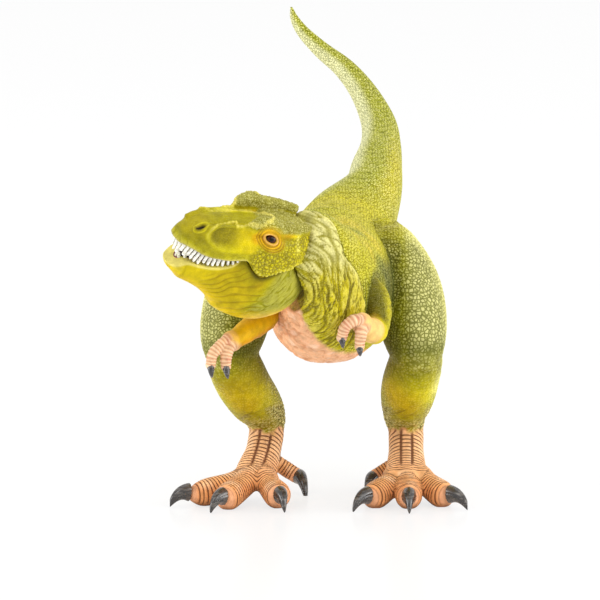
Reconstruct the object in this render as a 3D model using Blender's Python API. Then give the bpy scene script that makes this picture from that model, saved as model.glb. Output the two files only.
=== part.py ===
"""Toy figure of a large two-legged meat-eating dinosaur, moulded in soft plastic, with a jaw that opens.

The figure faces -Y, its left side is at +X and the ground is z = 0.
Body, legs and tail are one sculpted skin, which is cut at its seams into the mouldings of the real toy.
"""

import math

import bmesh
import bpy
import numpy as np
from mathutils import Matrix, Vector

# Layout sizes, in metres: places across, along and up are shares of these three.
STANCE_WIDTH = 0.100
TRUNK_LENGTH = 0.100
BODY_HEIGHT = 0.100

# Trunk and neck.
TRUNK_WIDTH = 0.040
TRUNK_DEPTH = 0.048

# Tail, from its seam behind the hips to the tip.
TAIL_LENGTH = 0.150
TAIL_RISE = 0.054
TAIL_SWING = 0.030
TAIL_ROOT_WIDTH = 0.029
TAIL_PEG_RADIUS = 0.006
TAIL_PEG_LENGTH = 0.007

# Legs.
THIGH_WIDTH = 0.023
THIGH_DEPTH = 0.035
CALF_WIDTH = 0.0175
CALF_DEPTH = 0.020
INSTEP_WIDTH = 0.0116
INSTEP_DEPTH = 0.0105
TOE_WIDTH = 0.0088
TOE_HEIGHT = 0.0090
SPUR_WIDTH = 0.0058
FOOT_CLAW_WIDTH = 0.0046
FOOT_CLAW_HEIGHT = 0.0056
LEG_SEAM_MARGIN = 0.0012

# Arms.
UPPER_ARM_WIDTH = 0.0095
FOREARM_WIDTH = 0.0078
FINGER_WIDTH = 0.0036
HAND_CLAW_WIDTH = 0.0024

# Head, in its own frame: x runs forward from the jaw hinge, y to the figure's left, z up.
HEAD_LENGTH = 0.044
HEAD_WIDTH = 0.022
HEAD_HEIGHT = 0.016
JAW_DEPTH = 0.023
HEAD_YAW = math.radians(61)
HEAD_PITCH = math.radians(7)
HEAD_ROLL = math.radians(26)
HEAD_PLACE_SHARES = (-0.018, -0.637, 0.887)
MOUTH_GAP = 0.0006
JAW_OPENING = math.radians(24)
HINGE_LUG_WIDTH = 0.0070
HINGE_LUG_RADIUS = 0.0030
JAW_PIN_RADIUS = 0.0010
JAW_PIN_LENGTH = 0.0130
NECK_PEG_RADIUS = 0.0030

# Mouth: rebates behind the lips hold the tooth strips, and the tongue lies in the floor.
UPPER_STRIP_INSET = 0.0015
UPPER_STRIP_WIDTH = 0.0013
UPPER_STRIP_HEIGHT = 0.0017
UPPER_TOOTH_LENGTH = 0.0036
PALATE_INSET = 0.0021
PALATE_HEIGHT = 0.0026
LOWER_STRIP_INSET = 0.0033
LOWER_STRIP_WIDTH = 0.0011
LOWER_STRIP_HEIGHT = 0.0014
LOWER_TOOTH_LENGTH = 0.0021
FLOOR_INSET = 0.0039
TOOTH_RADIUS = 0.00085
LOWER_TOOTH_RADIUS = 0.0006
TONGUE_THICKNESS = 0.0016

# Fits and surface.
FIT_GAP = 0.0003
PIN_CLEARANCE = 0.0001
CUT_OVERRUN = 0.004
MERGE_DISTANCE = 0.000002
SKIN_VOXEL = 0.0007
HEAD_VOXEL = 0.00045
HAND_VOXEL = 0.00038
SKIN_FACES = 4800
ARM_FACES = 620
HEAD_FACES = 1300
JAW_FACES = 650
SWEPT_FACES = 800

# Neck and trunk, front to back: across, along, up, then half width, height above and depth below.
TRUNK_SHARES = (
    (-0.020, -0.660, 0.930, 0.190, 0.165, 0.185),
    (0.020, -0.610, 0.900, 0.240, 0.235, 0.300),
    (0.058, -0.510, 0.840, 0.300, 0.285, 0.410),
    (0.072, -0.380, 0.765, 0.410, 0.375, 0.510),
    (0.085, -0.240, 0.715, 0.490, 0.425, 0.500),
    (0.090, -0.080, 0.695, 0.500, 0.470, 0.490),
    (0.095, 0.080, 0.700, 0.480, 0.490, 0.580),
    (0.130, 0.240, 0.765, 0.430, 0.355, 0.490),
    (0.170, 0.380, 0.835, 0.360, 0.250, 0.345),
)

# Tail: share of its length, rise and swing, then half width, height above and depth below.
TAIL_SHARES = (
    (0.120, 0.120, 0.217, 0.340, 0.300, 0.370),
    (0.260, 0.200, 0.280, 0.293, 0.272, 0.300),
    (0.413, 0.280, 0.337, 0.238, 0.220, 0.235),
    (0.560, 0.380, 0.323, 0.205, 0.180, 0.183),
    (0.713, 0.520, 0.167, 0.162, 0.145, 0.148),
    (0.820, 0.640, -0.050, 0.134, 0.120, 0.124),
    (0.893, 0.730, -0.300, 0.110, 0.103, 0.103),
    (0.947, 0.830, -0.517, 0.083, 0.080, 0.080),
    (0.980, 0.917, -0.633, 0.055, 0.055, 0.055),
    (1.000, 1.000, -0.673, 0.017, 0.017, 0.017),
)

# Limb sections, top to bottom: half width and half depth.
THIGH_SECTION_SHARES = ((0.16, 0.20), (0.36, 0.44), (0.48, 0.50), (0.47, 0.41), (0.37, 0.28), (0.20, 0.13))
CALF_SECTION_SHARES = (
    (0.40, 0.38), (0.47, 0.47), (0.50, 0.50), (0.47, 0.42), (0.40, 0.33), (0.35, 0.29), (0.29, 0.25),
)
INSTEP_SECTION_SHARES = ((0.47, 0.50), (0.49, 0.49), (0.49, 0.46), (0.56, 0.44), (0.56, 0.40), (0.34, 0.26))
TOE_SECTION_SHARES = ((0.40, 0.42), (0.46, 0.46), (0.44, 0.44), (0.50, 0.50), (0.42, 0.42), (0.20, 0.20))

# Leg places as across, along and up shares.
LEG_SHARES = {
    "left": {
        "thigh": (
            (0.270, 0.160, 0.850), (0.295, 0.120, 0.780), (0.330, 0.040, 0.680),
            (0.355, -0.060, 0.580), (0.368, -0.130, 0.490), (0.370, -0.160, 0.430),
        ),
        "calf": (
            (0.370, -0.130, 0.520), (0.368, -0.095, 0.460), (0.350, -0.030, 0.380), (0.340, 0.050, 0.305),
            (0.335, 0.105, 0.255), (0.338, 0.145, 0.210), (0.340, 0.160, 0.170),
        ),
        "instep": (
            (0.340, 0.165, 0.205), (0.340, 0.130, 0.175), (0.339, 0.060, 0.130),
            (0.338, -0.010, 0.090), (0.337, -0.060, 0.065), (0.336, -0.090, 0.050),
        ),
        "toes": (
            ((0.315, 0.000, 0.085), (0.285, -0.090, 0.055), (0.240, -0.165, 0.038), (0.212, -0.205, 0.036)),
            (
                (0.338, -0.020, 0.085), (0.341, -0.110, 0.055),
                (0.342, -0.180, 0.040), (0.342, -0.225, 0.038),
            ),
            ((0.360, 0.000, 0.085), (0.405, -0.085, 0.055), (0.445, -0.150, 0.038), (0.472, -0.185, 0.036)),
        ),
        "claw_tips": ((0.166, -0.262, 0.003), (0.342, -0.288, 0.003), (0.528, -0.238, 0.003)),
        "spur": (
            (0.320, 0.095, 0.095), (0.280, 0.100, 0.065),
            (0.245, 0.092, 0.045), (0.235, 0.085, 0.040),
        ),
        "spur_tip": (0.212, 0.035, -0.010),
    },
    "right": {
        "thigh": (
            (-0.070, 0.140, 0.850), (-0.115, 0.100, 0.780), (-0.168, 0.020, 0.680),
            (-0.205, -0.080, 0.580), (-0.218, -0.150, 0.495), (-0.215, -0.180, 0.440),
        ),
        "calf": (
            (-0.218, -0.150, 0.525), (-0.212, -0.115, 0.460),
            (-0.180, -0.040, 0.375), (-0.145, 0.040, 0.305),
            (-0.120, 0.095, 0.260), (-0.108, 0.135, 0.215), (-0.106, 0.155, 0.175),
        ),
        "instep": (
            (-0.106, 0.160, 0.205), (-0.108, 0.125, 0.175), (-0.118, 0.060, 0.130),
            (-0.132, 0.000, 0.093), (-0.144, -0.040, 0.068), (-0.150, -0.070, 0.050),
        ),
        "toes": (
            (
                (-0.130, 0.000, 0.085), (-0.210, -0.075, 0.055),
                (-0.290, -0.130, 0.040), (-0.350, -0.160, 0.037),
            ),
            (
                (-0.145, -0.030, 0.085), (-0.185, -0.125, 0.055),
                (-0.225, -0.195, 0.040), (-0.243, -0.228, 0.038),
            ),
            (
                (-0.120, -0.030, 0.085), (-0.095, -0.120, 0.055),
                (-0.072, -0.180, 0.042), (-0.062, -0.215, 0.040),
            ),
        ),
        "claw_tips": ((-0.412, -0.188, 0.003), (-0.280, -0.278, 0.003), (-0.048, -0.272, 0.003)),
        "spur": (
            (-0.080, 0.085, 0.095), (-0.045, 0.088, 0.070),
            (-0.015, 0.080, 0.052), (-0.004, 0.074, 0.048),
        ),
        "spur_tip": (0.019, 0.000, -0.010),
    },
}

# Arm places from the chest's middle: across by trunk width, along by trunk length, up by trunk depth.
ARM_SHARES = {
    "left": {
        "arm": (
            (0.300, -0.010, -0.030), (0.390, -0.045, -0.120),
            (0.415, -0.060, -0.220), (0.405, -0.070, -0.300),
        ),
        "forearm": (
            (0.405, -0.060, -0.280), (0.390, -0.095, -0.310),
            (0.330, -0.160, -0.265), (0.290, -0.190, -0.225),
        ),
        "fingers": (
            (
                (0.290, -0.185, -0.225), (0.235, -0.220, -0.195),
                (0.165, -0.230, -0.235), (0.137, -0.225, -0.305),
            ),
            (
                (0.300, -0.185, -0.240), (0.285, -0.215, -0.265),
                (0.275, -0.222, -0.320), (0.272, -0.220, -0.360),
            ),
        ),
        "claw_tips": ((0.148, -0.215, -0.375), (0.278, -0.210, -0.430)),
    },
    "right": {
        "arm": (
            (-0.300, -0.010, -0.020), (-0.380, -0.040, -0.100),
            (-0.430, -0.060, -0.170), (-0.450, -0.080, -0.240),
        ),
        "forearm": (
            (-0.430, -0.070, -0.195), (-0.480, -0.110, -0.235),
            (-0.600, -0.180, -0.290), (-0.697, -0.215, -0.330),
        ),
        "fingers": (
            (
                (-0.695, -0.218, -0.320), (-0.773, -0.240, -0.345),
                (-0.840, -0.255, -0.400), (-0.857, -0.255, -0.470),
            ),
            (
                (-0.690, -0.218, -0.345), (-0.722, -0.240, -0.365),
                (-0.742, -0.252, -0.430), (-0.742, -0.252, -0.480),
            ),
        ),
        "claw_tips": ((-0.850, -0.250, -0.555), (-0.727, -0.250, -0.560)),
    },
}
ARM_SECTION_SHARES = ((0.46, 0.50), (0.50, 0.54), (0.46, 0.50), (0.42, 0.44))
FOREARM_SECTION_SHARES = ((0.46, 0.48), (0.52, 0.52), (0.44, 0.44), (0.40, 0.36))
FINGER_SECTION_SHARES = ((0.56, 0.56), (0.52, 0.52), (0.48, 0.48), (0.42, 0.42))
ELBOW_SHARE = 0.48
HAND_SHARE = 0.42
FINGER_PAD_SHARE = 0.44

# Claws: where the bend lies between root and tip, its rise, and how the section falls away to the point.
CLAW_BEND_SHARE = 0.65
CLAW_RISE_SHARE = 0.12
CLAW_ROOT_RISE_SHARE = 0.10
CLAW_ROOT_SHARE = 0.50
FOOT_CLAW_POINT_SHARE = 0.03
SPUR_POINT_SHARE = 0.09
HAND_CLAW_POINT_SHARE = 0.06
FOOT_CLAW_TAPER = 0.75
HAND_CLAW_TAPER = 0.70

# Skull, rear to snout: place along the head, then top and bottom by its height, and half width.
SKULL_SHARES = (
    (-0.090, 0.560, 0.150, 0.110),
    (-0.034, 0.700, -0.120, 0.235),
    (0.045, 0.745, -0.300, 0.370),
    (0.136, 0.755, -0.450, 0.450),
    (0.250, 0.755, -0.580, 0.468),
    (0.364, 0.750, -0.520, 0.436),
    (0.455, 0.735, -0.375, 0.386),
    (0.590, 0.725, -0.310, 0.323),
    (0.727, 0.690, -0.310, 0.286),
    (0.850, 0.580, -0.220, 0.245),
    (0.925, 0.470, -0.090, 0.190),
    (0.960, 0.370, 0.020, 0.115),
    (0.976, 0.300, 0.120, 0.045),
)

# Lower jaw, rear to chin: place along the head, top by its height, bottom by the jaw's depth, half width.
JAW_SHARES = (
    (-0.085, -0.100, -0.300, 0.140),
    (-0.034, 0.050, -0.565, 0.295),
    (0.045, 0.150, -0.780, 0.418),
    (0.136, 0.190, -0.910, 0.468),
    (0.250, 0.190, -0.980, 0.472),
    (0.364, 0.190, -0.935, 0.436),
    (0.455, 0.250, -0.826, 0.386),
    (0.590, 0.190, -0.650, 0.323),
    (0.727, 0.125, -0.520, 0.286),
    (0.864, 0.060, -0.425, 0.250),
    (0.925, -0.080, -0.355, 0.195),
    (0.956, -0.190, -0.315, 0.127),
    (0.970, -0.270, -0.285, 0.055),
)

# Mouth line, rear to snout: place along the head, then the upper lip and the jaw's rim by head height.
MOUTH_SHARES = (
    (-0.220, 0.050, 0.050),
    (-0.070, 0.040, 0.040),
    (0.050, 0.035, 0.035),
    (0.134, -0.012, -0.012),
    (0.236, -0.131, -0.131),
    (0.290, -0.205, -0.205),
    (0.325, -0.225, -0.225),
    (0.355, -0.200, -0.200),
    (0.395, -0.110, -0.110),
    (0.430, -0.010, -0.010),
    (0.466, 0.050, 0.050),
    (0.523, 0.012, -0.075),
    (0.590, -0.031, -0.156),
    (0.682, -0.020, -0.194),
    (0.773, 0.038, -0.184),
    (0.864, 0.138, -0.150),
    (0.955, 0.200, -0.275),
    (1.150, 0.230, -0.290),
)
HINGE_SHARES = (0.045, 0.0, -0.340)
NECK_PEG_SHARES = ((-0.200, -0.060, 0.260), (0.170, 0.0, 0.300))
TEETH_START_SHARE = 0.480
FLOOR_START_SHARE = 0.400
MOUTH_MIDDLE_SHARE = 0.300
LUG_STEM_SHARE = 0.900
LUG_TOP_SHARE = 0.250
SLOT_REACH_SHARE = 0.250
TONGUE_FILL_SHARE = 0.850
FLOOR_SHARES = ((0.300, -0.380), (0.500, -0.340), (0.700, -0.370), (0.950, -0.300))
TONGUE_SHARES = ((0.440, 0.35), (0.470, 0.75), (0.550, 1.00), (0.660, 0.95), (0.750, 0.80), (0.800, 0.35))

# Ridges and cheeks: place along, out and up, then radius as a share of the head's width.
BROW_SHARES = (
    (0.530, 0.260, 0.650, 0.040), (0.495, 0.275, 0.690, 0.055), (0.460, 0.288, 0.800, 0.080),
    (0.425, 0.296, 0.860, 0.092), (0.355, 0.305, 0.865, 0.092), (0.310, 0.310, 0.815, 0.090),
    (0.230, 0.315, 0.795, 0.085), (0.143, 0.300, 0.775, 0.075), (0.068, 0.260, 0.765, 0.065),
    (0.020, 0.225, 0.755, 0.055),
)
SNOUT_RIDGE_SHARES = (
    (0.880, 0.150, 0.520, 0.038), (0.727, 0.215, 0.620, 0.045), (0.530, 0.260, 0.650, 0.050),
)
CHEEK_SHARES = ((0.390, 0.330, 0.060, 0.080), (0.270, 0.370, -0.060, 0.110), (0.110, 0.350, 0.040, 0.110))
RIDGE_ROOT_SHARE = 2.4
EYE_SHARES = (0.316, 0.364, 0.540)
EYE_RADIUS = 0.0026
HOLLOW_SHARES = (0.660, 0.350, 0.400)
HOLLOW_LENGTH = 0.0110
HOLLOW_HEIGHT = 0.0056
HOLLOW_DEPTH = 0.0042
NOSTRIL_SHARES = (0.850, 0.215, 0.560)
NOSTRIL_LENGTH = 0.0026
NOSTRIL_HEIGHT = 0.0011

# The feet part on a plane across the stance, and below the knees each leg owns its side of it.
FEET_PARTING_SHARE = 0.085
BELOW_KNEE_SHARE = 0.380

SECTION_SIDES = 28
SPINE_SIDES = 40
HEAD_SIDES = 36
CLAW_SIDES = 12
CLAW_STEPS = 8
ROD_SIDES = 20
TONGUE_SIDES = 12
PATH_STEPS = 5
UPPER_TEETH = 27
LOWER_TEETH = 21
TOOTH_SIDES = 4
TOOTH_POINT_SHARE = 0.2
MOUTH_STEPS = 18
JAW_NODES = ("lower_jaw", "lower_teeth", "tongue")
SWEEP_STEPS = 4

# How square a section is: 2 is an ellipse.
BODY_POWER = 2.15
FLAT_POWER = 2.4
SWEEP_MARGIN = math.radians(1)


def clear_scene():
    for old in list(bpy.data.objects):
        bpy.data.objects.remove(old)


def make_material(name, colour, roughness):
    material = bpy.data.materials.new(name)
    material.use_nodes = True
    shader = material.node_tree.nodes["Principled BSDF"]
    shader.inputs["Base Color"].default_value = (*colour, 1)
    shader.inputs["Roughness"].default_value = roughness
    return material


def layout(shares):
    """A place given as shares of the three layout sizes."""
    return Vector((shares[0] * STANCE_WIDTH, shares[1] * TRUNK_LENGTH, shares[2] * BODY_HEIGHT))


def curve_through(rows, steps=PATH_STEPS):
    """Rows of numbers read off a smooth curve that passes through the given rows."""
    rows = np.array(rows, float)
    ends = np.vstack([2 * rows[0] - rows[1], rows, 2 * rows[-1] - rows[-2]])
    found = []
    for i in range(1, len(rows)):
        before, start, finish, after = ends[i - 1], ends[i], ends[i + 1], ends[i + 2]
        for t in np.arange(steps) / steps:
            found.append(0.5 * (
                2 * start + (finish - before) * t
                + (2 * before - 5 * start + 4 * finish - after) * t**2
                + (3 * start - 3 * finish + after - before) * t**3
            ))
    found.append(rows[-1])
    return np.array(found)


def object_of(mesh_maker, name):
    mesh = bpy.data.meshes.new(name)
    mesh_maker.to_mesh(mesh)
    mesh_maker.free()
    made = bpy.data.objects.new(name, mesh)
    bpy.context.scene.collection.objects.link(made)
    return made


def loft(name, rows, hint, sides=SECTION_SIDES, power=2.0):
    """A closed tube through rows of x, y, z, half width, height above and depth below the path.

    "Above" is the side of the path that the hint points to.
    """
    made = bmesh.new()
    rings = []
    hint = Vector(hint)
    for i, row in enumerate(rows):
        centre = Vector(row[:3])
        ahead = Vector(rows[min(i + 1, len(rows) - 1)][:3]) - Vector(rows[max(i - 1, 0)][:3])
        ahead.normalize()
        aside = ahead.cross(hint).normalized()
        above = aside.cross(ahead)
        ring = []
        for k in range(sides):
            angle = math.tau * k / sides
            c = math.copysign(abs(math.cos(angle)) ** (2 / power), math.cos(angle))
            s = math.copysign(abs(math.sin(angle)) ** (2 / power), math.sin(angle))
            reach = row[4] if s > 0 else row[5]
            ring.append(made.verts.new(centre + aside * (c * row[3]) + above * (s * reach)))
        rings.append(ring)
    for first, second in zip(rings, rings[1:]):
        for k in range(sides):
            made.faces.new((first[k], first[(k + 1) % sides], second[(k + 1) % sides], second[k]))
    made.faces.new(reversed(rings[0]))
    made.faces.new(rings[-1])
    bmesh.ops.recalc_face_normals(made, faces=made.faces[:])
    return object_of(made, name)


def stretched(rows, by):
    """The rows with every section grown and both ends run on by the same distance."""
    rows = np.array(rows, float)
    rows[:, 3:] += by
    for end, inner in ((0, 1), (-1, -2)):
        run = rows[end, :3] - rows[inner, :3]
        rows[end, :3] += run / np.linalg.norm(run) * by
    return rows


def limb(name, places, sections, width, depth, hint, extra=0):
    """A limb through places, with sections as shares of its width and depth, grown by an extra."""
    rows = [(*place, s[0] * width, s[1] * depth, s[1] * depth) for place, s in zip(places, sections)]
    return loft(name, stretched(curve_through(rows), extra), hint)


def claw(name, root, tip, width, height, point):
    """A curved claw that leaves its root level and hooks down to a tip of the given share of its size."""
    root = Vector(root)
    tip = Vector(tip)
    crest = root.lerp(tip, CLAW_BEND_SHARE)
    crest.z = root.z + height * CLAW_RISE_SHARE
    rows = []
    for t in np.linspace(0, 1, CLAW_STEPS):
        place = root * (1 - t) ** 2 + crest * (2 * t * (1 - t)) + tip * t**2
        size = (1 - t) ** FOOT_CLAW_TAPER * CLAW_ROOT_SHARE + point
        rows.append((*place, size * width, size * height, size * height))
    return loft(name, rows, (0, 0, 1), CLAW_SIDES)


def ball(name, place, radius, stretch=(1, 1, 1)):
    made = bmesh.new()
    bmesh.ops.create_icosphere(made, subdivisions=2, radius=radius)
    matrix = Matrix.Translation(place) @ Matrix.Diagonal((*stretch, 1))
    bmesh.ops.transform(made, matrix=matrix, verts=made.verts[:])
    return object_of(made, name)


def rod(name, start, finish, radius):
    start = Vector(start)
    finish = Vector(finish)
    run = finish - start
    made = bmesh.new()
    bmesh.ops.create_cone(
        made, cap_ends=True, segments=ROD_SIDES, radius1=radius, radius2=radius, depth=run.length,
        matrix=Matrix.Translation((start + finish) / 2) @ run.to_track_quat("Z", "Y").to_matrix().to_4x4(),
    )
    return object_of(made, name)


def block(name, matrix, low, high):
    """A box between two corners of the given frame."""
    low = Vector(low)
    high = Vector(high)
    made = bmesh.new()
    size = Matrix.Diagonal((*(high - low), 1))
    bmesh.ops.create_cube(made, size=1, matrix=matrix @ Matrix.Translation((low + high) / 2) @ size)
    return object_of(made, name)


def baked(obj):
    """The object with its modifiers applied."""
    graph = bpy.context.evaluated_depsgraph_get()
    mesh = bpy.data.meshes.new_from_object(obj.evaluated_get(graph))
    obj.modifiers.clear()
    old = obj.data
    obj.data = mesh
    bpy.data.meshes.remove(old)
    return obj


def joined(name, pieces):
    """One object that holds every piece's mesh."""
    made = bmesh.new()
    for piece in pieces:
        made.from_mesh(piece.data)
        bpy.data.objects.remove(piece)
    return object_of(made, name)


def sculpted(name, pieces, voxel, rounds, faces):
    """The pieces melted into one smooth skin of about the given number of triangles."""
    made = joined(name, pieces)
    remesh = made.modifiers.new("skin", "REMESH")
    remesh.mode = "VOXEL"
    remesh.voxel_size = voxel
    smooth = made.modifiers.new("smooth", "SMOOTH")
    smooth.factor = 0.5
    smooth.iterations = rounds
    baked(made)
    thin = made.modifiers.new("thin", "DECIMATE")
    thin.ratio = min(1.0, faces / (2 * len(made.data.polygons)))
    thin.use_collapse_triangulate = True
    return baked(made)


def combined(target, tool, operation):
    """The target after one Boolean with the tool."""
    change = target.modifiers.new("join", "BOOLEAN")
    change.operation = operation
    change.solver = "EXACT"
    change.object = tool
    baked(target)
    made = bmesh.new()
    made.from_mesh(target.data)
    bmesh.ops.remove_doubles(made, verts=made.verts[:], dist=MERGE_DISTANCE)
    bmesh.ops.dissolve_degenerate(made, edges=made.edges[:], dist=MERGE_DISTANCE)
    made.to_mesh(target.data)
    made.free()
    bpy.data.objects.remove(tool)
    return target


def largest_body(obj):
    """The object with only its largest shell, so that no crumb of a cut is left."""
    made = bmesh.new()
    made.from_mesh(obj.data)
    made.verts.index_update()
    left = set(made.verts)
    shells = []
    while left:
        edge_of_walk = [left.pop()]
        shell = set(edge_of_walk)
        while edge_of_walk:
            for edge in edge_of_walk.pop().link_edges:
                for vertex in edge.verts:
                    if vertex in left:
                        left.discard(vertex)
                        shell.add(vertex)
                        edge_of_walk.append(vertex)
        shells.append(shell)
    shells.sort(key=len)
    spare = [vertex for shell in shells[:-1] for vertex in shell]
    bmesh.ops.delete(made, geom=spare, context="VERTS")
    made.to_mesh(obj.data)
    made.free()
    return obj


def copied(source, name):
    made = source.copy()
    made.data = source.data.copy()
    made.name = name
    bpy.context.scene.collection.objects.link(made)
    return made


def spine_rows():
    rows = []
    for across, along, up, wide, above, below in TRUNK_SHARES:
        place = layout((across, along, up))
        rows.append((*place, wide * TRUNK_WIDTH, above * TRUNK_DEPTH, below * TRUNK_DEPTH))
    root = layout(TRUNK_SHARES[-1][:3])
    for along, rise, swing, wide, above, below in TAIL_SHARES:
        place = root + Vector((swing * TAIL_SWING, along * TAIL_LENGTH, rise * TAIL_RISE))
        rows.append((*place, wide * TAIL_ROOT_WIDTH, above * TAIL_ROOT_WIDTH, below * TAIL_ROOT_WIDTH))
    return rows


def leg_pieces(side):
    """Thigh, calf, instep, toes and claws of one leg, as overlapping solids."""
    shares = LEG_SHARES[side]
    front = (0, -1, 0)
    top = (0, 0, 1)
    places = {key: [layout(p) for p in shares[key]] for key in ("thigh", "calf", "instep", "spur")}
    spur_root = places["spur"][-1]
    spur_tip = layout(shares["spur_tip"])
    pieces = [
        limb("thigh", places["thigh"], THIGH_SECTION_SHARES, THIGH_WIDTH, THIGH_DEPTH, front),
        limb("calf", places["calf"], CALF_SECTION_SHARES, CALF_WIDTH, CALF_DEPTH, front),
        limb("instep", places["instep"], INSTEP_SECTION_SHARES, INSTEP_WIDTH, INSTEP_DEPTH, front),
        limb("spur", places["spur"], TOE_SECTION_SHARES, SPUR_WIDTH, SPUR_WIDTH, top),
        claw("spur_claw", spur_root, spur_tip, SPUR_WIDTH, SPUR_WIDTH, SPUR_POINT_SHARE),
    ]
    for toe_shares, tip in zip(shares["toes"], shares["claw_tips"]):
        toe = curve_through([layout(p) for p in toe_shares], 2)
        sections = TOE_SECTION_SHARES
        spread = np.linspace(0, len(toe) - 1, len(sections)).round().astype(int)
        pieces.append(limb("toe", [toe[i] for i in spread], sections, TOE_WIDTH, TOE_HEIGHT, top))
        root = Vector(toe[-1])
        root.z += TOE_HEIGHT * CLAW_ROOT_RISE_SHARE
        tip = layout(tip)
        pieces.append(claw("claw", root, tip, FOOT_CLAW_WIDTH, FOOT_CLAW_HEIGHT, FOOT_CLAW_POINT_SHARE))
    return pieces


def leg_region(side, extra):
    """The space that one leg's moulding owns: round its thigh, round its calf and below its knee."""
    shares = LEG_SHARES[side]
    front = (0, -1, 0)
    margin = LEG_SEAM_MARGIN + extra
    thigh = [layout(p) for p in shares["thigh"]]
    calf = [layout(p) for p in shares["calf"]]
    region = limb("region", thigh, THIGH_SECTION_SHARES, THIGH_WIDTH, THIGH_DEPTH, front, margin)
    knee = limb("knee", calf, CALF_SECTION_SHARES, CALF_WIDTH, CALF_DEPTH, front, margin + LEG_SEAM_MARGIN)
    parting = FEET_PARTING_SHARE * STANCE_WIDTH
    outward = STANCE_WIDTH + CUT_OVERRUN
    top = BELOW_KNEE_SHARE * BODY_HEIGHT + extra
    ends = (parting - extra, outward) if side == "left" else (-outward, parting - 2 * FIT_GAP + extra)
    low = (ends[0], -TRUNK_LENGTH, -CUT_OVERRUN)
    foot = block("foot", Matrix(), low, (ends[1], TRUNK_LENGTH, top))
    return combined(combined(region, knee, "UNION"), foot, "UNION")


def chest_place(shares):
    chest = layout(TRUNK_SHARES[3][:3])
    return chest + Vector((shares[0] * TRUNK_WIDTH, shares[1] * TRUNK_LENGTH, shares[2] * TRUNK_DEPTH))


def arm_limbs(side, extra=0):
    """Upper arm and forearm as clean tubes, grown by an extra."""
    shares = ARM_SHARES[side]
    arm = [chest_place(p) for p in shares["arm"]]
    forearm = [chest_place(p) for p in shares["forearm"]]
    return [
        limb("arm", arm, ARM_SECTION_SHARES, UPPER_ARM_WIDTH, UPPER_ARM_WIDTH, (0, -1, 0), extra),
        limb("forearm", forearm, FOREARM_SECTION_SHARES, FOREARM_WIDTH, FOREARM_WIDTH, (0, 0, 1), extra),
        ball("elbow", arm[-1], FOREARM_WIDTH * ELBOW_SHARE + extra),
        ball("hand", forearm[-1], FOREARM_WIDTH * HAND_SHARE + extra),
    ]


def arm_pieces(side):
    shares = ARM_SHARES[side]
    pieces = arm_limbs(side)
    for finger_shares, tip in zip(shares["fingers"], shares["claw_tips"]):
        finger = [chest_place(p) for p in finger_shares]
        pieces.append(limb("finger", finger, FINGER_SECTION_SHARES, FINGER_WIDTH, FINGER_WIDTH, (0, -1, 0)))
        pieces.append(ball("pad", finger[-1], FINGER_WIDTH * FINGER_PAD_SHARE))
        pieces.append(straight_claw(finger[-1], chest_place(tip)))
    return pieces


def straight_claw(root, tip):
    rows = []
    bend = Vector((0, -HAND_CLAW_WIDTH / 2, 0))
    for t in np.linspace(0, 1, CLAW_STEPS):
        place = Vector(root).lerp(tip, t) + bend * (4 * t * (1 - t))
        size = (1 - t) ** HAND_CLAW_TAPER * CLAW_ROOT_SHARE + HAND_CLAW_POINT_SHARE
        half = size * HAND_CLAW_WIDTH
        rows.append((*place, half, half, half))
    return loft("claw", rows, (0, -1, 0), CLAW_SIDES)


def head_frame():
    """The head's own axes placed in the figure: turned to its right, nose up, crown tipped to its left."""
    facing = Matrix(((0, 1, 0), (-1, 0, 0), (0, 0, 1)))
    turn = Matrix.Rotation(-HEAD_YAW, 3, "Z") @ facing
    turn = turn @ Matrix.Rotation(-HEAD_PITCH, 3, "Y") @ Matrix.Rotation(-HEAD_ROLL, 3, "X")
    return Matrix.Translation(layout(HEAD_PLACE_SHARES)) @ turn.to_4x4()


def head_point(along, out, up):
    """A place in the head's frame, given as shares of its length, width and height."""
    return Vector((along * HEAD_LENGTH, out * HEAD_WIDTH, up * HEAD_HEIGHT))


def ridge(name, shares, side, extra=0, root=1):
    """A ridge on one side of the head, whose root below its line is deeper than its crest by a factor."""
    rows = []
    for along, out, up, thick in shares:
        size = thick * HEAD_WIDTH
        rows.append((*head_point(along, side * out, up), size, size, size * root))
    return loft(name, stretched(curve_through(rows), extra), (0, 0, 1), CLAW_SIDES)


def head_tube(name, shares, height, depth, extra=0):
    """The skull or the jaw as one tube, with tops by the head's height and bottoms by the given depth."""
    rows = []
    for along, top, bottom, wide in shares:
        high = top * height
        low = bottom * depth
        half = (high - low) / 2
        rows.append((along * HEAD_LENGTH, 0, (high + low) / 2, wide * HEAD_WIDTH, half, half))
    return loft(name, stretched(curve_through(rows), extra), (0, 0, 1), HEAD_SIDES, FLAT_POWER)


def skull_skin():
    pieces = [head_tube("skull", SKULL_SHARES, HEAD_HEIGHT, HEAD_HEIGHT)]
    for side in (1, -1):
        pieces.append(ridge("brow", BROW_SHARES, side, root=RIDGE_ROOT_SHARE))
        pieces.append(ridge("snout_ridge", SNOUT_RIDGE_SHARES, side, root=RIDGE_ROOT_SHARE))
        pieces.append(ridge("cheek", CHEEK_SHARES, side))
        along, out, up = EYE_SHARES
        pieces.append(ball("eye", head_point(along, side * out, up), EYE_RADIUS))
    skin = sculpted("head", pieces, HEAD_VOXEL, 4, HEAD_FACES)
    for side in (1, -1):
        along, out, up = HOLLOW_SHARES
        stretch = (HOLLOW_LENGTH / 2, HOLLOW_DEPTH / 2, HOLLOW_HEIGHT / 2)
        combined(skin, ball("hollow", head_point(along, side * out, up), 1, stretch), "DIFFERENCE")
        along, out, up = NOSTRIL_SHARES
        stretch = (NOSTRIL_LENGTH / 2, NOSTRIL_HEIGHT, NOSTRIL_HEIGHT / 2)
        combined(skin, ball("nostril", head_point(along, side * out, up), 1, stretch), "DIFFERENCE")
    return skin


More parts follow.
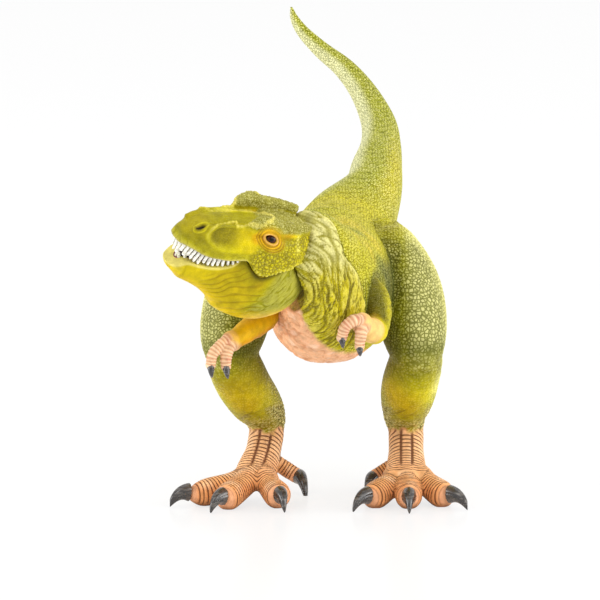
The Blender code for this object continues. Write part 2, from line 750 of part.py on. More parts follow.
def mouth_line(steps=4):
    """Place along the head, upper lip height and jaw rim height, rear to snout."""
    rows = [(along * HEAD_LENGTH, lip * HEAD_HEIGHT, rim * HEAD_HEIGHT) for along, lip, rim in MOUTH_SHARES]
    return curve_through(rows, steps)


def lip_height(x):
    line = mouth_line()
    return float(np.interp(x, line[:, 0], line[:, 1]))


def rim_height(x):
    line = mouth_line()
    return float(np.interp(x, line[:, 0], line[:, 2]))


def floor_height(x):
    """Height of the mouth's floor at a place along the head."""
    line = curve_through(FLOOR_SHARES)
    return float(np.interp(x, line[:, 0] * HEAD_LENGTH, line[:, 1] * HEAD_HEIGHT))


def mouth_side(name, above, offset):
    """Everything above the upper lip, or everything below the jaw's rim, moved up by an offset."""
    line = mouth_line()
    column = 1 if above else 2
    reach = (HEAD_HEIGHT if above else -JAW_DEPTH) * 2
    outline = [(row[0], row[column] + offset) for row in line]
    outline += [(line[-1][0], reach), (line[0][0], reach)]
    made = bmesh.new()
    near = [made.verts.new((x, HEAD_WIDTH, z)) for x, z in outline]
    far = [made.verts.new((x, -HEAD_WIDTH, z)) for x, z in outline]
    made.faces.new(near)
    made.faces.new(list(reversed(far)))
    for k in range(len(outline)):
        after = (k + 1) % len(outline)
        made.faces.new((near[k], far[k], far[after], near[after]))
    bmesh.ops.recalc_face_normals(made, faces=made.faces[:])
    bmesh.ops.triangulate(made, faces=made.faces[:])
    return object_of(made, name)


def spaced(line, count):
    """Evenly spaced places on a line of places."""
    line = np.array(line)
    run = np.concatenate([[0], np.cumsum(np.linalg.norm(np.diff(line, axis=0), axis=1))])
    at = np.linspace(0, run[-1], count)
    return [(float(np.interp(t, run, line[:, 0])), float(np.interp(t, run, line[:, 1]))) for t in at]


def mouth_curve(table, inset, start_share):
    """Evenly spaced places on a U round the mouth, set in from the edge, left rear to right rear."""
    plan = curve_through([(row[0] * HEAD_LENGTH, row[3] * HEAD_WIDTH) for row in table])
    start = start_share * HEAD_LENGTH
    tip = plan[-1][0]
    along_scale = (tip - inset - start) / (tip - start)
    across_scale = 1 - inset / (MOUTH_MIDDLE_SHARE * HEAD_WIDTH)
    side = [(start + (x - start) * along_scale, y * across_scale) for x, y in plan if x > start]
    return spaced(side + [(x, -y) for x, y in reversed(side)], MOUTH_STEPS)


def mouth_recess(name, table, inset, start_share, low, high):
    """A solid inside the mouth curve, between two heights that depend on the place along the head."""
    line = mouth_curve(table, inset, start_share)
    made = bmesh.new()
    floor = [made.verts.new((x, y, low(x))) for x, y in line]
    roof = [made.verts.new((x, y, high(x))) for x, y in line]
    count = len(line)
    half = count // 2
    for k in range(count):
        after = (k + 1) % count
        made.faces.new((floor[k], floor[after], roof[after], roof[k]))
    for k in range(half - 1):
        far = count - 1 - k
        made.faces.new((floor[k], floor[far], floor[far - 1], floor[k + 1]))
        made.faces.new((roof[k], roof[k + 1], roof[far - 1], roof[far]))
    bmesh.ops.recalc_face_normals(made, faces=made.faces[:])
    bmesh.ops.triangulate(made, faces=made.faces[:])
    return object_of(made, name)


def tooth_strip(name, table, inset, width, height, low, high, extra=0):
    """A gum strip along the mouth curve, grown by an extra on every side."""
    line = mouth_curve(table, inset, TEETH_START_SHARE)
    made = bmesh.new()
    rings = []
    for i, (x, y) in enumerate(line):
        before = line[max(i - 1, 0)]
        after = line[min(i + 1, len(line) - 1)]
        run = Vector((after[0] - before[0], after[1] - before[1], 0)).normalized()
        out = Vector((run.y, -run.x, 0)) * (width / 2 + extra)
        place = Vector((x, y, height(x)))
        if extra and i in (0, len(line) - 1):
            place += run * (extra if i else -extra)
        ring = []
        bottom = low - extra
        top = high + extra
        for offset, level in ((out, bottom), (-out, bottom), (-out, top), (out, top)):
            ring.append(made.verts.new(place + offset + Vector((0, 0, level))))
        rings.append(ring)
    for first, second in zip(rings, rings[1:]):
        for k in range(4):
            made.faces.new((first[k], first[(k + 1) % 4], second[(k + 1) % 4], second[k]))
    made.faces.new(reversed(rings[0]))
    made.faces.new(rings[-1])
    bmesh.ops.recalc_face_normals(made, faces=made.faces[:])
    bmesh.ops.triangulate(made, faces=made.faces[:])
    return object_of(made, name)


def cones(name, table, inset, count, root, tip, radius):
    """Pointed teeth along the mouth curve, each between two heights that depend on its place."""
    made = bmesh.new()
    for x, y in spaced(mouth_curve(table, inset, TEETH_START_SHARE), count + 2)[1:-1]:
        low, high = sorted((root(x), tip(x)))
        matrix = Matrix.Translation((x, y, (low + high) / 2))
        if tip(x) < root(x):
            matrix = matrix @ Matrix.Rotation(math.pi, 4, "X")
        bmesh.ops.create_cone(
            made, cap_ends=True, segments=TOOTH_SIDES, radius1=radius, radius2=radius * TOOTH_POINT_SHARE,
            depth=high - low, matrix=matrix,
        )
    return object_of(made, name)


def upper_tip_height(x):
    """Height of an upper tooth's tip: just clear of the jaw's rim, or a tooth's length below the lip."""
    lip = lip_height(x)
    return max(min(rim_height(x) + FIT_GAP, lip - FIT_GAP), lip - UPPER_TOOTH_LENGTH)


def upper_teeth():
    strip = tooth_strip(
        "upper_teeth", SKULL_SHARES, UPPER_STRIP_INSET, UPPER_STRIP_WIDTH, lip_height,
        0, UPPER_STRIP_HEIGHT,
    )
    fangs = cones(
        "fangs", SKULL_SHARES, UPPER_STRIP_INSET, UPPER_TEETH,
        lambda x: lip_height(x) + UPPER_STRIP_HEIGHT / 2, upper_tip_height, TOOTH_RADIUS,
    )
    return combined(strip, fangs, "UNION")


def lower_teeth():
    low = -LOWER_STRIP_HEIGHT - MOUTH_GAP / 2
    strip = tooth_strip(
        "lower_teeth", JAW_SHARES, LOWER_STRIP_INSET, LOWER_STRIP_WIDTH, rim_height, low, -MOUTH_GAP / 2,
    )
    fangs = cones(
        "fangs", JAW_SHARES, LOWER_STRIP_INSET, LOWER_TEETH,
        lambda x: rim_height(x) - LOWER_STRIP_HEIGHT / 2 - MOUTH_GAP / 2,
        lambda x: rim_height(x) - MOUTH_GAP / 2 + LOWER_TOOTH_LENGTH,
        LOWER_TOOTH_RADIUS,
    )
    return combined(strip, fangs, "UNION")


def tongue():
    plan = curve_through([(row[0] * HEAD_LENGTH, row[3] * HEAD_WIDTH) for row in JAW_SHARES])
    across_scale = 1 - FLOOR_INSET / (MOUTH_MIDDLE_SHARE * HEAD_WIDTH)
    rows = []
    for along, fill in TONGUE_SHARES:
        x = along * HEAD_LENGTH
        wide = float(np.interp(x, plan[:, 0], plan[:, 1])) * across_scale - FIT_GAP
        half = TONGUE_THICKNESS / 2 * fill
        height = floor_height(x) + FIT_GAP + TONGUE_THICKNESS / 2
        rows.append((x, 0, height, wide * fill * TONGUE_FILL_SHARE, half, half))
    return loft("tongue", curve_through(rows, 2), (0, 0, 1), TONGUE_SIDES, FLAT_POWER)


def jaw_sweep(extra, share):
    """The lower jaw's outer form, grown by an extra, at a share of its opening."""
    jaw = head_tube("sweep", JAW_SHARES, HEAD_HEIGHT, JAW_DEPTH, extra)
    combined(jaw, mouth_side("lower", False, extra - MOUTH_GAP / 2), "INTERSECT")
    hinge = head_point(*HINGE_SHARES)
    angle = JAW_OPENING * share + (SWEEP_MARGIN if share == 1 else 0)
    turn = Matrix.Translation(hinge) @ Matrix.Rotation(angle, 4, "Y") @ Matrix.Translation(-hinge)
    jaw.data.transform(turn)
    return jaw


def swept_space(extra, first_step, voxel, others=()):
    """All the room that the lower jaw passes through from a step of its opening on, and other solids."""
    pieces = [jaw_sweep(extra, step / SWEEP_STEPS) for step in range(first_step, SWEEP_STEPS + 1)]
    return sculpted("swept", [*pieces, *others], voxel, 1, SWEPT_FACES)


def hinge_pin(name, radius, extra=0):
    """The jaw's hinge pin, or with an extra, the bore that it runs in."""
    hinge = head_point(*HINGE_SHARES)
    reach = Vector((0, JAW_PIN_LENGTH / 2 + extra, 0))
    return rod(name, hinge - reach, hinge + reach, radius)


def hinge_lug():
    """The lug that hangs from the skull into the jaw's slot."""
    hinge = head_point(*HINGE_SHARES)
    half = Vector((0, HINGE_LUG_WIDTH / 2, 0))
    lug = rod("lug", hinge - half, hinge + half, HINGE_LUG_RADIUS)
    low = hinge - half * LUG_STEM_SHARE - Vector((HINGE_LUG_RADIUS * LUG_STEM_SHARE, 0, 0))
    high = hinge + half * LUG_STEM_SHARE + Vector((HINGE_LUG_RADIUS * LUG_STEM_SHARE, 0, 0))
    high.z = HEAD_HEIGHT * LUG_TOP_SHARE
    return combined(lug, block("stem", Matrix(), low, high), "UNION")


def cut_hinge_slot(jaw):
    """Room in the jaw for the lug at every angle of the jaw."""
    hinge = head_point(*HINGE_SHARES)
    half = Vector((0, HINGE_LUG_WIDTH / 2 + FIT_GAP, 0))
    radius = HINGE_LUG_RADIUS + FIT_GAP
    combined(jaw, rod("slot", hinge - half, hinge + half, radius), "DIFFERENCE")
    half.y += FIT_GAP
    low = hinge - half - Vector((HEAD_LENGTH * SLOT_REACH_SHARE, 0, 0))
    high = hinge + half + Vector((radius, 0, HEAD_HEIGHT))
    combined(jaw, block("slot", Matrix(), low, high), "DIFFERENCE")


def make_head():
    head = skull_skin()
    combined(head, mouth_side("upper", True, MOUTH_GAP / 2), "INTERSECT")
    combined(head, swept_space(FIT_GAP, 1, HEAD_VOXEL), "DIFFERENCE")
    largest_body(head)
    combined(head, hinge_lug(), "UNION")
    combined(head, hinge_pin("bore", JAW_PIN_RADIUS + PIN_CLEARANCE, CUT_OVERRUN), "DIFFERENCE")
    recess = mouth_recess(
        "palate", SKULL_SHARES, PALATE_INSET, TEETH_START_SHARE,
        lambda x: lip_height(x) - CUT_OVERRUN, lambda x: lip_height(x) + PALATE_HEIGHT,
    )
    combined(head, recess, "DIFFERENCE")
    rebate = tooth_strip(
        "rebate", SKULL_SHARES, UPPER_STRIP_INSET, UPPER_STRIP_WIDTH, lip_height, -MOUTH_GAP,
        UPPER_STRIP_HEIGHT, FIT_GAP,
    )
    return largest_body(combined(head, rebate, "DIFFERENCE"))


def make_jaw():
    pieces = [head_tube("jaw", JAW_SHARES, HEAD_HEIGHT, JAW_DEPTH)]
    jaw = sculpted("lower_jaw", pieces, HEAD_VOXEL, 3, JAW_FACES)
    combined(jaw, mouth_side("lower", False, -MOUTH_GAP / 2), "INTERSECT")
    cut_hinge_slot(jaw)
    combined(jaw, hinge_pin("bore", JAW_PIN_RADIUS + PIN_CLEARANCE, PIN_CLEARANCE), "DIFFERENCE")
    floor = mouth_recess(
        "floor", JAW_SHARES, FLOOR_INSET, FLOOR_START_SHARE,
        floor_height, lambda x: rim_height(x) + CUT_OVERRUN,
    )
    combined(jaw, floor, "DIFFERENCE")
    low = -LOWER_STRIP_HEIGHT - MOUTH_GAP / 2
    rebate = tooth_strip(
        "rebate", JAW_SHARES, LOWER_STRIP_INSET, LOWER_STRIP_WIDTH, rim_height, low, CUT_OVERRUN, FIT_GAP,
    )
    return largest_body(combined(jaw, rebate, "DIFFERENCE"))


def main():
    clear_scene()
    skin_green = make_material("olive_green_skin", (0.36, 0.46, 0.06), 0.5)
    skin_yellow = make_material("yellow_green_skin", (0.56, 0.58, 0.10), 0.5)
    tooth_white = make_material("tooth_white", (0.90, 0.90, 0.86), 0.35)
    tongue_pink = make_material("tongue_pink", (0.72, 0.32, 0.26), 0.4)
    pin_dark = make_material("pin_dark", (0.10, 0.09, 0.07), 0.5)

    spine = loft("spine", curve_through(spine_rows()), (0, 0, 1), SPINE_SIDES, BODY_POWER)
    body = sculpted("body", [spine, *leg_pieces("left"), *leg_pieces("right")], SKIN_VOXEL, 6, SKIN_FACES)
    reach = STANCE_WIDTH + TRUNK_LENGTH + TAIL_LENGTH
    ground = block("ground", Matrix(), (-reach, -reach, -BODY_HEIGHT), (reach, reach, 0))
    combined(body, ground, "DIFFERENCE")

    nodes = {}

    # Legs: each keeps the skin inside its own space, so its hip is a round seat in the torso.
    torso = copied(body, "torso")
    for side in ("left", "right"):
        leg = combined(copied(body, side + "_leg"), leg_region(side, 0), "INTERSECT")
        nodes[side + "_leg"] = (largest_body(leg), skin_green)
        combined(torso, leg_region(side, FIT_GAP), "DIFFERENCE")

    # Tail: cut square to the spine, with a peg that plugs into the torso.
    rows = spine_rows()
    root = Vector(rows[len(TRUNK_SHARES) - 1][:3])
    run = (Vector(rows[len(TRUNK_SHARES)][:3]) - Vector(rows[len(TRUNK_SHARES) - 2][:3])).normalized()
    seam = Matrix.Translation(root) @ run.to_track_quat("Z", "X").to_matrix().to_4x4()
    behind = block("behind", seam, (-reach, -reach, 0), (reach, reach, reach))
    tail = combined(copied(body, "tail"), behind, "INTERSECT")
    behind_gap = block("behind", seam, (-reach, -reach, -FIT_GAP), (reach, reach, reach))
    combined(torso, behind_gap, "DIFFERENCE")
    peg = rod("peg", root - run * TAIL_PEG_LENGTH, root + run * TAIL_PEG_LENGTH, TAIL_PEG_RADIUS)
    combined(largest_body(tail), peg, "UNION")
    hole_end = root - run * (TAIL_PEG_LENGTH + FIT_GAP)
    hole = rod("hole", hole_end, root + run * CUT_OVERRUN, TAIL_PEG_RADIUS + FIT_GAP)
    combined(torso, hole, "DIFFERENCE")
    nodes["tail"] = (tail, skin_green)
    bpy.data.objects.remove(body)

    # Arms: whole mouldings whose shoulders sit in sockets of the torso.
    for side in ("left", "right"):
        for shape in arm_limbs(side, FIT_GAP):
            combined(torso, shape, "DIFFERENCE")
        arm = sculpted(side + "_arm", arm_pieces(side), HAND_VOXEL, 3, ARM_FACES)
        nodes[side + "_arm"] = (largest_body(arm), skin_yellow)

    # Head and lower jaw are made in the head's own frame and then placed on the neck.
    frame = head_frame()
    nodes["head"] = (make_head(), skin_yellow)
    nodes["lower_jaw"] = (make_jaw(), skin_yellow)
    nodes["jaw_pin"] = (hinge_pin("jaw_pin", JAW_PIN_RADIUS), pin_dark)
    nodes["upper_teeth"] = (upper_teeth(), tooth_white)
    nodes["lower_teeth"] = (lower_teeth(), tooth_white)
    nodes["tongue"] = (tongue(), tongue_pink)
    for name in ("head", "lower_jaw", "jaw_pin", "upper_teeth", "lower_teeth", "tongue"):
        nodes[name][0].data.transform(frame)

    # Neck: a peg on the torso plugs into a socket in the back of the head.
    hinge = frame @ head_point(*HINGE_SHARES)
    neck_start, neck_end = (frame @ head_point(*place) for place in NECK_PEG_SHARES)
    past = (neck_end - neck_start).normalized() * FIT_GAP
    hole = rod("hole", neck_start, neck_end + past, NECK_PEG_RADIUS + FIT_GAP)
    combined(nodes["head"][0], hole, "DIFFERENCE")

    # The neck makes room for the skull and for every angle of the jaw.
    skull = head_tube("clear", SKULL_SHARES, HEAD_HEIGHT, HEAD_HEIGHT, 2 * FIT_GAP)
    shapes = [skull]
    for side in (1, -1):
        shapes.append(ridge("clear", CHEEK_SHARES, side, 2 * FIT_GAP))
        shapes.append(ridge("clear", BROW_SHARES, side, 2 * FIT_GAP, RIDGE_ROOT_SHARE))
    clear = swept_space(2 * FIT_GAP, 0, SKIN_VOXEL, shapes)
    clear.data.transform(frame)
    combined(torso, clear, "DIFFERENCE")
    combined(torso, rod("peg", neck_start, neck_end, NECK_PEG_RADIUS), "UNION")
    nodes["torso"] = (largest_body(torso), skin_green)

    # The figure stands on the ground, its box centred over the origin, and the jaw turns on its own origin.
    corners = np.array([v.co for obj, _ in nodes.values() for v in obj.data.vertices])
    low, high = corners.min(axis=0), corners.max(axis=0)
    to_origin = Matrix.Translation((-(low[0] + high[0]) / 2, -(low[1] + high[1]) / 2, -low[2]))
    jaw_axis = to_origin @ Matrix.Translation(hinge) @ frame.to_3x3().to_4x4()
    for name, (obj, material) in nodes.items():
        obj.name = name
        obj.data.name = name
        obj.data.transform(to_origin)
        if name in JAW_NODES:
            obj.data.transform(jaw_axis.inverted())
            obj.matrix_world = jaw_axis
        obj.data.materials.clear()
        obj.data.materials.append(material)
        obj.data.shade_smooth()
        obj.data.set_sharp_from_angle(angle=math.radians(35))


main()
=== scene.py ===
"""Looks of a toy figure of a large two-legged meat-eating dinosaur: moulded skins with scales, folds and
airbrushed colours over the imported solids, with separate teeth, claws, eyes, gums and tongue.

The forms come from the same shares as the part's own. Places of paint and relief are in millimetres, either
in the layout that those shares give or, for the head, in its own frame: x forward, y to its left, z up.
"""

import math

import bmesh
import bpy
import numpy as np
from mathutils import Matrix, Vector
from mathutils.bvhtree import BVHTree


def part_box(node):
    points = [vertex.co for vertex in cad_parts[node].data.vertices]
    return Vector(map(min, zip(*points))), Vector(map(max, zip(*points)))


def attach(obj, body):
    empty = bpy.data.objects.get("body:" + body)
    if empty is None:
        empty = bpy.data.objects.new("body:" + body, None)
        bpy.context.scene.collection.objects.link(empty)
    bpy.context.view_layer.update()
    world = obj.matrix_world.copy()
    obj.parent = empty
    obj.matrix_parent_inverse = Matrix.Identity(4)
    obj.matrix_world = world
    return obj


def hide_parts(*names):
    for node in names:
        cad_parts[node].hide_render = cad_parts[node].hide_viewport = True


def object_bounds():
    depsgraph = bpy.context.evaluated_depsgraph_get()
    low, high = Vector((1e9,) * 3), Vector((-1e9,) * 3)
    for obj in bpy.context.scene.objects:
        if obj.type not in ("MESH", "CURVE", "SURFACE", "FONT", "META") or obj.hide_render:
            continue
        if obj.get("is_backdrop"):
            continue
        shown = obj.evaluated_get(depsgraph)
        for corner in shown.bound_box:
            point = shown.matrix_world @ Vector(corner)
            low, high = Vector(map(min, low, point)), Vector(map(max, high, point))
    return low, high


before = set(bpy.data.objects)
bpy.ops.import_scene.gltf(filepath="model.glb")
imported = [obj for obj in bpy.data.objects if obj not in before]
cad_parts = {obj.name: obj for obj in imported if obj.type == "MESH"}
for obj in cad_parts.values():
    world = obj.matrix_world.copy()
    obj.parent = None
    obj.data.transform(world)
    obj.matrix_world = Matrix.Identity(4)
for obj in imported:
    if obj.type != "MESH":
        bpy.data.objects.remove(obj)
cad_low, cad_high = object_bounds()

STANCE_WIDTH = 0.100
TRUNK_LENGTH = 0.100
BODY_HEIGHT = 0.100

# Trunk and neck.
TRUNK_WIDTH = 0.040
TRUNK_DEPTH = 0.048

# Tail, from its seam behind the hips to the tip.
TAIL_LENGTH = 0.150
TAIL_RISE = 0.054
TAIL_SWING = 0.030
TAIL_ROOT_WIDTH = 0.029

# Legs.
THIGH_WIDTH = 0.023
THIGH_DEPTH = 0.035
CALF_WIDTH = 0.0175
CALF_DEPTH = 0.020
INSTEP_WIDTH = 0.0116
INSTEP_DEPTH = 0.0105
TOE_WIDTH = 0.0088
TOE_HEIGHT = 0.0090
SPUR_WIDTH = 0.0058
FOOT_CLAW_WIDTH = 0.0046
FOOT_CLAW_HEIGHT = 0.0056
LEG_SEAM_MARGIN = 0.0012

# Arms.
UPPER_ARM_WIDTH = 0.0095
FOREARM_WIDTH = 0.0078
FINGER_WIDTH = 0.0036
HAND_CLAW_WIDTH = 0.0024

# Head, in its own frame: x runs forward from the jaw hinge, y to the figure's left, z up.
HEAD_LENGTH = 0.044
HEAD_WIDTH = 0.022
HEAD_HEIGHT = 0.016
JAW_DEPTH = 0.023
HEAD_YAW = math.radians(61)
HEAD_PITCH = math.radians(7)
HEAD_ROLL = math.radians(26)
HEAD_PLACE_SHARES = (-0.018, -0.637, 0.887)
MOUTH_GAP = 0.0006
JAW_OPENING = math.radians(24)
HINGE_LUG_WIDTH = 0.0070
HINGE_LUG_RADIUS = 0.0030

# Mouth: rebates behind the lips hold the tooth strips, and the tongue lies in the floor.
UPPER_STRIP_INSET = 0.0015
UPPER_STRIP_WIDTH = 0.0013
UPPER_STRIP_HEIGHT = 0.0017
UPPER_TOOTH_LENGTH = 0.0036
PALATE_INSET = 0.0021
PALATE_HEIGHT = 0.0026
LOWER_STRIP_INSET = 0.0033
LOWER_STRIP_WIDTH = 0.0011
LOWER_STRIP_HEIGHT = 0.0014
LOWER_TOOTH_LENGTH = 0.0021
FLOOR_INSET = 0.0039
TONGUE_THICKNESS = 0.0016

# Fits and surface.
FIT_GAP = 0.0003
CUT_OVERRUN = 0.004

# Neck and trunk, front to back: across, along, up, then half width, height above and depth below.
TRUNK_SHARES = (
    (-0.020, -0.660, 0.930, 0.190, 0.165, 0.185),
    (0.020, -0.610, 0.900, 0.240, 0.235, 0.300),
    (0.058, -0.510, 0.840, 0.300, 0.285, 0.410),
    (0.072, -0.380, 0.765, 0.410, 0.375, 0.510),
    (0.085, -0.240, 0.715, 0.490, 0.425, 0.500),
    (0.090, -0.080, 0.695, 0.500, 0.470, 0.490),
    (0.095, 0.080, 0.700, 0.480, 0.490, 0.580),
    (0.130, 0.240, 0.765, 0.430, 0.355, 0.490),
    (0.170, 0.380, 0.835, 0.360, 0.250, 0.345),
)

# Tail: share of its length, rise and swing, then half width, height above and depth below.
TAIL_SHARES = (
    (0.120, 0.120, 0.217, 0.340, 0.300, 0.370),
    (0.260, 0.200, 0.280, 0.293, 0.272, 0.300),
    (0.413, 0.280, 0.337, 0.238, 0.220, 0.235),
    (0.560, 0.380, 0.323, 0.205, 0.180, 0.183),
    (0.713, 0.520, 0.167, 0.162, 0.145, 0.148),
    (0.820, 0.640, -0.050, 0.134, 0.120, 0.124),
    (0.893, 0.730, -0.300, 0.110, 0.103, 0.103),
    (0.947, 0.830, -0.517, 0.083, 0.080, 0.080),
    (0.980, 0.917, -0.633, 0.055, 0.055, 0.055),
    (1.000, 1.000, -0.673, 0.017, 0.017, 0.017),
)

# Limb sections, top to bottom: half width and half depth.
THIGH_SECTION_SHARES = ((0.16, 0.20), (0.36, 0.44), (0.48, 0.50), (0.47, 0.41), (0.37, 0.28), (0.20, 0.13))
CALF_SECTION_SHARES = (
    (0.40, 0.38), (0.47, 0.47), (0.50, 0.50), (0.47, 0.42), (0.40, 0.33), (0.35, 0.29), (0.29, 0.25),
)
INSTEP_SECTION_SHARES = ((0.47, 0.50), (0.49, 0.49), (0.49, 0.46), (0.56, 0.44), (0.56, 0.40), (0.34, 0.26))
TOE_SECTION_SHARES = ((0.40, 0.42), (0.46, 0.46), (0.44, 0.44), (0.50, 0.50), (0.42, 0.42), (0.20, 0.20))

# Leg places as across, along and up shares.
LEG_SHARES = {
    "left": {
        "thigh": (
            (0.270, 0.160, 0.850), (0.295, 0.120, 0.780), (0.330, 0.040, 0.680),
            (0.355, -0.060, 0.580), (0.368, -0.130, 0.490), (0.370, -0.160, 0.430),
        ),
        "calf": (
            (0.370, -0.130, 0.520), (0.368, -0.095, 0.460), (0.350, -0.030, 0.380), (0.340, 0.050, 0.305),
            (0.335, 0.105, 0.255), (0.338, 0.145, 0.210), (0.340, 0.160, 0.170),
        ),
        "instep": (
            (0.340, 0.165, 0.205), (0.340, 0.130, 0.175), (0.339, 0.060, 0.130),
            (0.338, -0.010, 0.090), (0.337, -0.060, 0.065), (0.336, -0.090, 0.050),
        ),
        "toes": (
            ((0.315, 0.000, 0.085), (0.285, -0.090, 0.055), (0.240, -0.165, 0.038), (0.212, -0.205, 0.036)),
            (
                (0.338, -0.020, 0.085), (0.341, -0.110, 0.055),
                (0.342, -0.180, 0.040), (0.342, -0.225, 0.038),
            ),
            ((0.360, 0.000, 0.085), (0.405, -0.085, 0.055), (0.445, -0.150, 0.038), (0.472, -0.185, 0.036)),
        ),
        "claw_tips": ((0.166, -0.262, 0.003), (0.342, -0.288, 0.003), (0.528, -0.238, 0.003)),
        "spur": (
            (0.320, 0.095, 0.095), (0.280, 0.100, 0.065),
            (0.245, 0.092, 0.045), (0.235, 0.085, 0.040),
        ),
        "spur_tip": (0.212, 0.035, -0.010),
    },
    "right": {
        "thigh": (
            (-0.070, 0.140, 0.850), (-0.115, 0.100, 0.780), (-0.168, 0.020, 0.680),
            (-0.205, -0.080, 0.580), (-0.218, -0.150, 0.495), (-0.215, -0.180, 0.440),
        ),
        "calf": (
            (-0.218, -0.150, 0.525), (-0.212, -0.115, 0.460),
            (-0.180, -0.040, 0.375), (-0.145, 0.040, 0.305),
            (-0.120, 0.095, 0.260), (-0.108, 0.135, 0.215), (-0.106, 0.155, 0.175),
        ),
        "instep": (
            (-0.106, 0.160, 0.205), (-0.108, 0.125, 0.175), (-0.118, 0.060, 0.130),
            (-0.132, 0.000, 0.093), (-0.144, -0.040, 0.068), (-0.150, -0.070, 0.050),
        ),
        "toes": (
            (
                (-0.130, 0.000, 0.085), (-0.210, -0.075, 0.055),
                (-0.290, -0.130, 0.040), (-0.350, -0.160, 0.037),
            ),
            (
                (-0.145, -0.030, 0.085), (-0.185, -0.125, 0.055),
                (-0.225, -0.195, 0.040), (-0.243, -0.228, 0.038),
            ),
            (
                (-0.120, -0.030, 0.085), (-0.095, -0.120, 0.055),
                (-0.072, -0.180, 0.042), (-0.062, -0.215, 0.040),
            ),
        ),
        "claw_tips": ((-0.412, -0.188, 0.003), (-0.280, -0.278, 0.003), (-0.048, -0.272, 0.003)),
        "spur": (
            (-0.080, 0.085, 0.095), (-0.045, 0.088, 0.070),
            (-0.015, 0.080, 0.052), (-0.004, 0.074, 0.048),
        ),
        "spur_tip": (0.019, 0.000, -0.010),
    },
}

# Arm places from the chest's middle: across by trunk width, along by trunk length, up by trunk depth.
ARM_SHARES = {
    "left": {
        "arm": (
            (0.300, -0.010, -0.030), (0.390, -0.045, -0.120),
            (0.415, -0.060, -0.220), (0.405, -0.070, -0.300),
        ),
        "forearm": (
            (0.405, -0.060, -0.280), (0.390, -0.095, -0.310),
            (0.330, -0.160, -0.265), (0.290, -0.190, -0.225),
        ),
        "fingers": (
            (
                (0.290, -0.185, -0.225), (0.235, -0.220, -0.195),
                (0.165, -0.230, -0.235), (0.137, -0.225, -0.305),
            ),
            (
                (0.300, -0.185, -0.240), (0.285, -0.215, -0.265),
                (0.275, -0.222, -0.320), (0.272, -0.220, -0.360),
            ),
        ),
        "claw_tips": ((0.148, -0.215, -0.375), (0.278, -0.210, -0.430)),
    },
    "right": {
        "arm": (
            (-0.300, -0.010, -0.020), (-0.380, -0.040, -0.100),
            (-0.430, -0.060, -0.170), (-0.450, -0.080, -0.240),
        ),
        "forearm": (
            (-0.430, -0.070, -0.195), (-0.480, -0.110, -0.235),
            (-0.600, -0.180, -0.290), (-0.697, -0.215, -0.330),
        ),
        "fingers": (
            (
                (-0.695, -0.218, -0.320), (-0.773, -0.240, -0.345),
                (-0.840, -0.255, -0.400), (-0.857, -0.255, -0.470),
            ),
            (
                (-0.690, -0.218, -0.345), (-0.722, -0.240, -0.365),
                (-0.742, -0.252, -0.430), (-0.742, -0.252, -0.480),
            ),
        ),
        "claw_tips": ((-0.850, -0.250, -0.555), (-0.727, -0.250, -0.560)),
    },
}
ARM_SECTION_SHARES = ((0.46, 0.50), (0.50, 0.54), (0.46, 0.50), (0.42, 0.44))
FOREARM_SECTION_SHARES = ((0.46, 0.48), (0.52, 0.52), (0.44, 0.44), (0.40, 0.36))
FINGER_SECTION_SHARES = ((0.56, 0.56), (0.52, 0.52), (0.48, 0.48), (0.42, 0.42))
ELBOW_SHARE = 0.48
HAND_SHARE = 0.42
FINGER_PAD_SHARE = 0.44

# Claws: where the bend lies between root and tip, its rise, and how the section falls away to the point.
CLAW_BEND_SHARE = 0.65
CLAW_RISE_SHARE = 0.12
CLAW_ROOT_RISE_SHARE = 0.10
CLAW_ROOT_SHARE = 0.50
FOOT_CLAW_POINT_SHARE = 0.03
SPUR_POINT_SHARE = 0.09
HAND_CLAW_POINT_SHARE = 0.06
FOOT_CLAW_TAPER = 0.75
HAND_CLAW_TAPER = 0.70

# Skull, rear to snout: place along the head, then top and bottom by its height, and half width.
SKULL_SHARES = (
    (-0.090, 0.560, 0.150, 0.110),
    (-0.034, 0.700, -0.120, 0.235),
    (0.045, 0.745, -0.300, 0.370),
    (0.136, 0.755, -0.450, 0.450),
    (0.250, 0.755, -0.580, 0.468),
    (0.364, 0.750, -0.520, 0.436),
    (0.455, 0.735, -0.375, 0.386),
    (0.590, 0.725, -0.310, 0.323),
    (0.727, 0.690, -0.310, 0.286),
    (0.850, 0.580, -0.220, 0.245),
    (0.925, 0.470, -0.090, 0.190),
    (0.960, 0.370, 0.020, 0.115),
    (0.976, 0.300, 0.120, 0.045),
)

# Lower jaw, rear to chin: place along the head, top by its height, bottom by the jaw's depth, half width.
JAW_SHARES = (
    (-0.085, -0.100, -0.300, 0.140),
    (-0.034, 0.050, -0.565, 0.295),
    (0.045, 0.150, -0.780, 0.418),
    (0.136, 0.190, -0.910, 0.468),
    (0.250, 0.190, -0.980, 0.472),
    (0.364, 0.190, -0.935, 0.436),
    (0.455, 0.250, -0.826, 0.386),
    (0.590, 0.190, -0.650, 0.323),
    (0.727, 0.125, -0.520, 0.286),
    (0.864, 0.060, -0.425, 0.250),
    (0.925, -0.080, -0.355, 0.195),
    (0.956, -0.190, -0.315, 0.127),
    (0.970, -0.270, -0.285, 0.055),
)

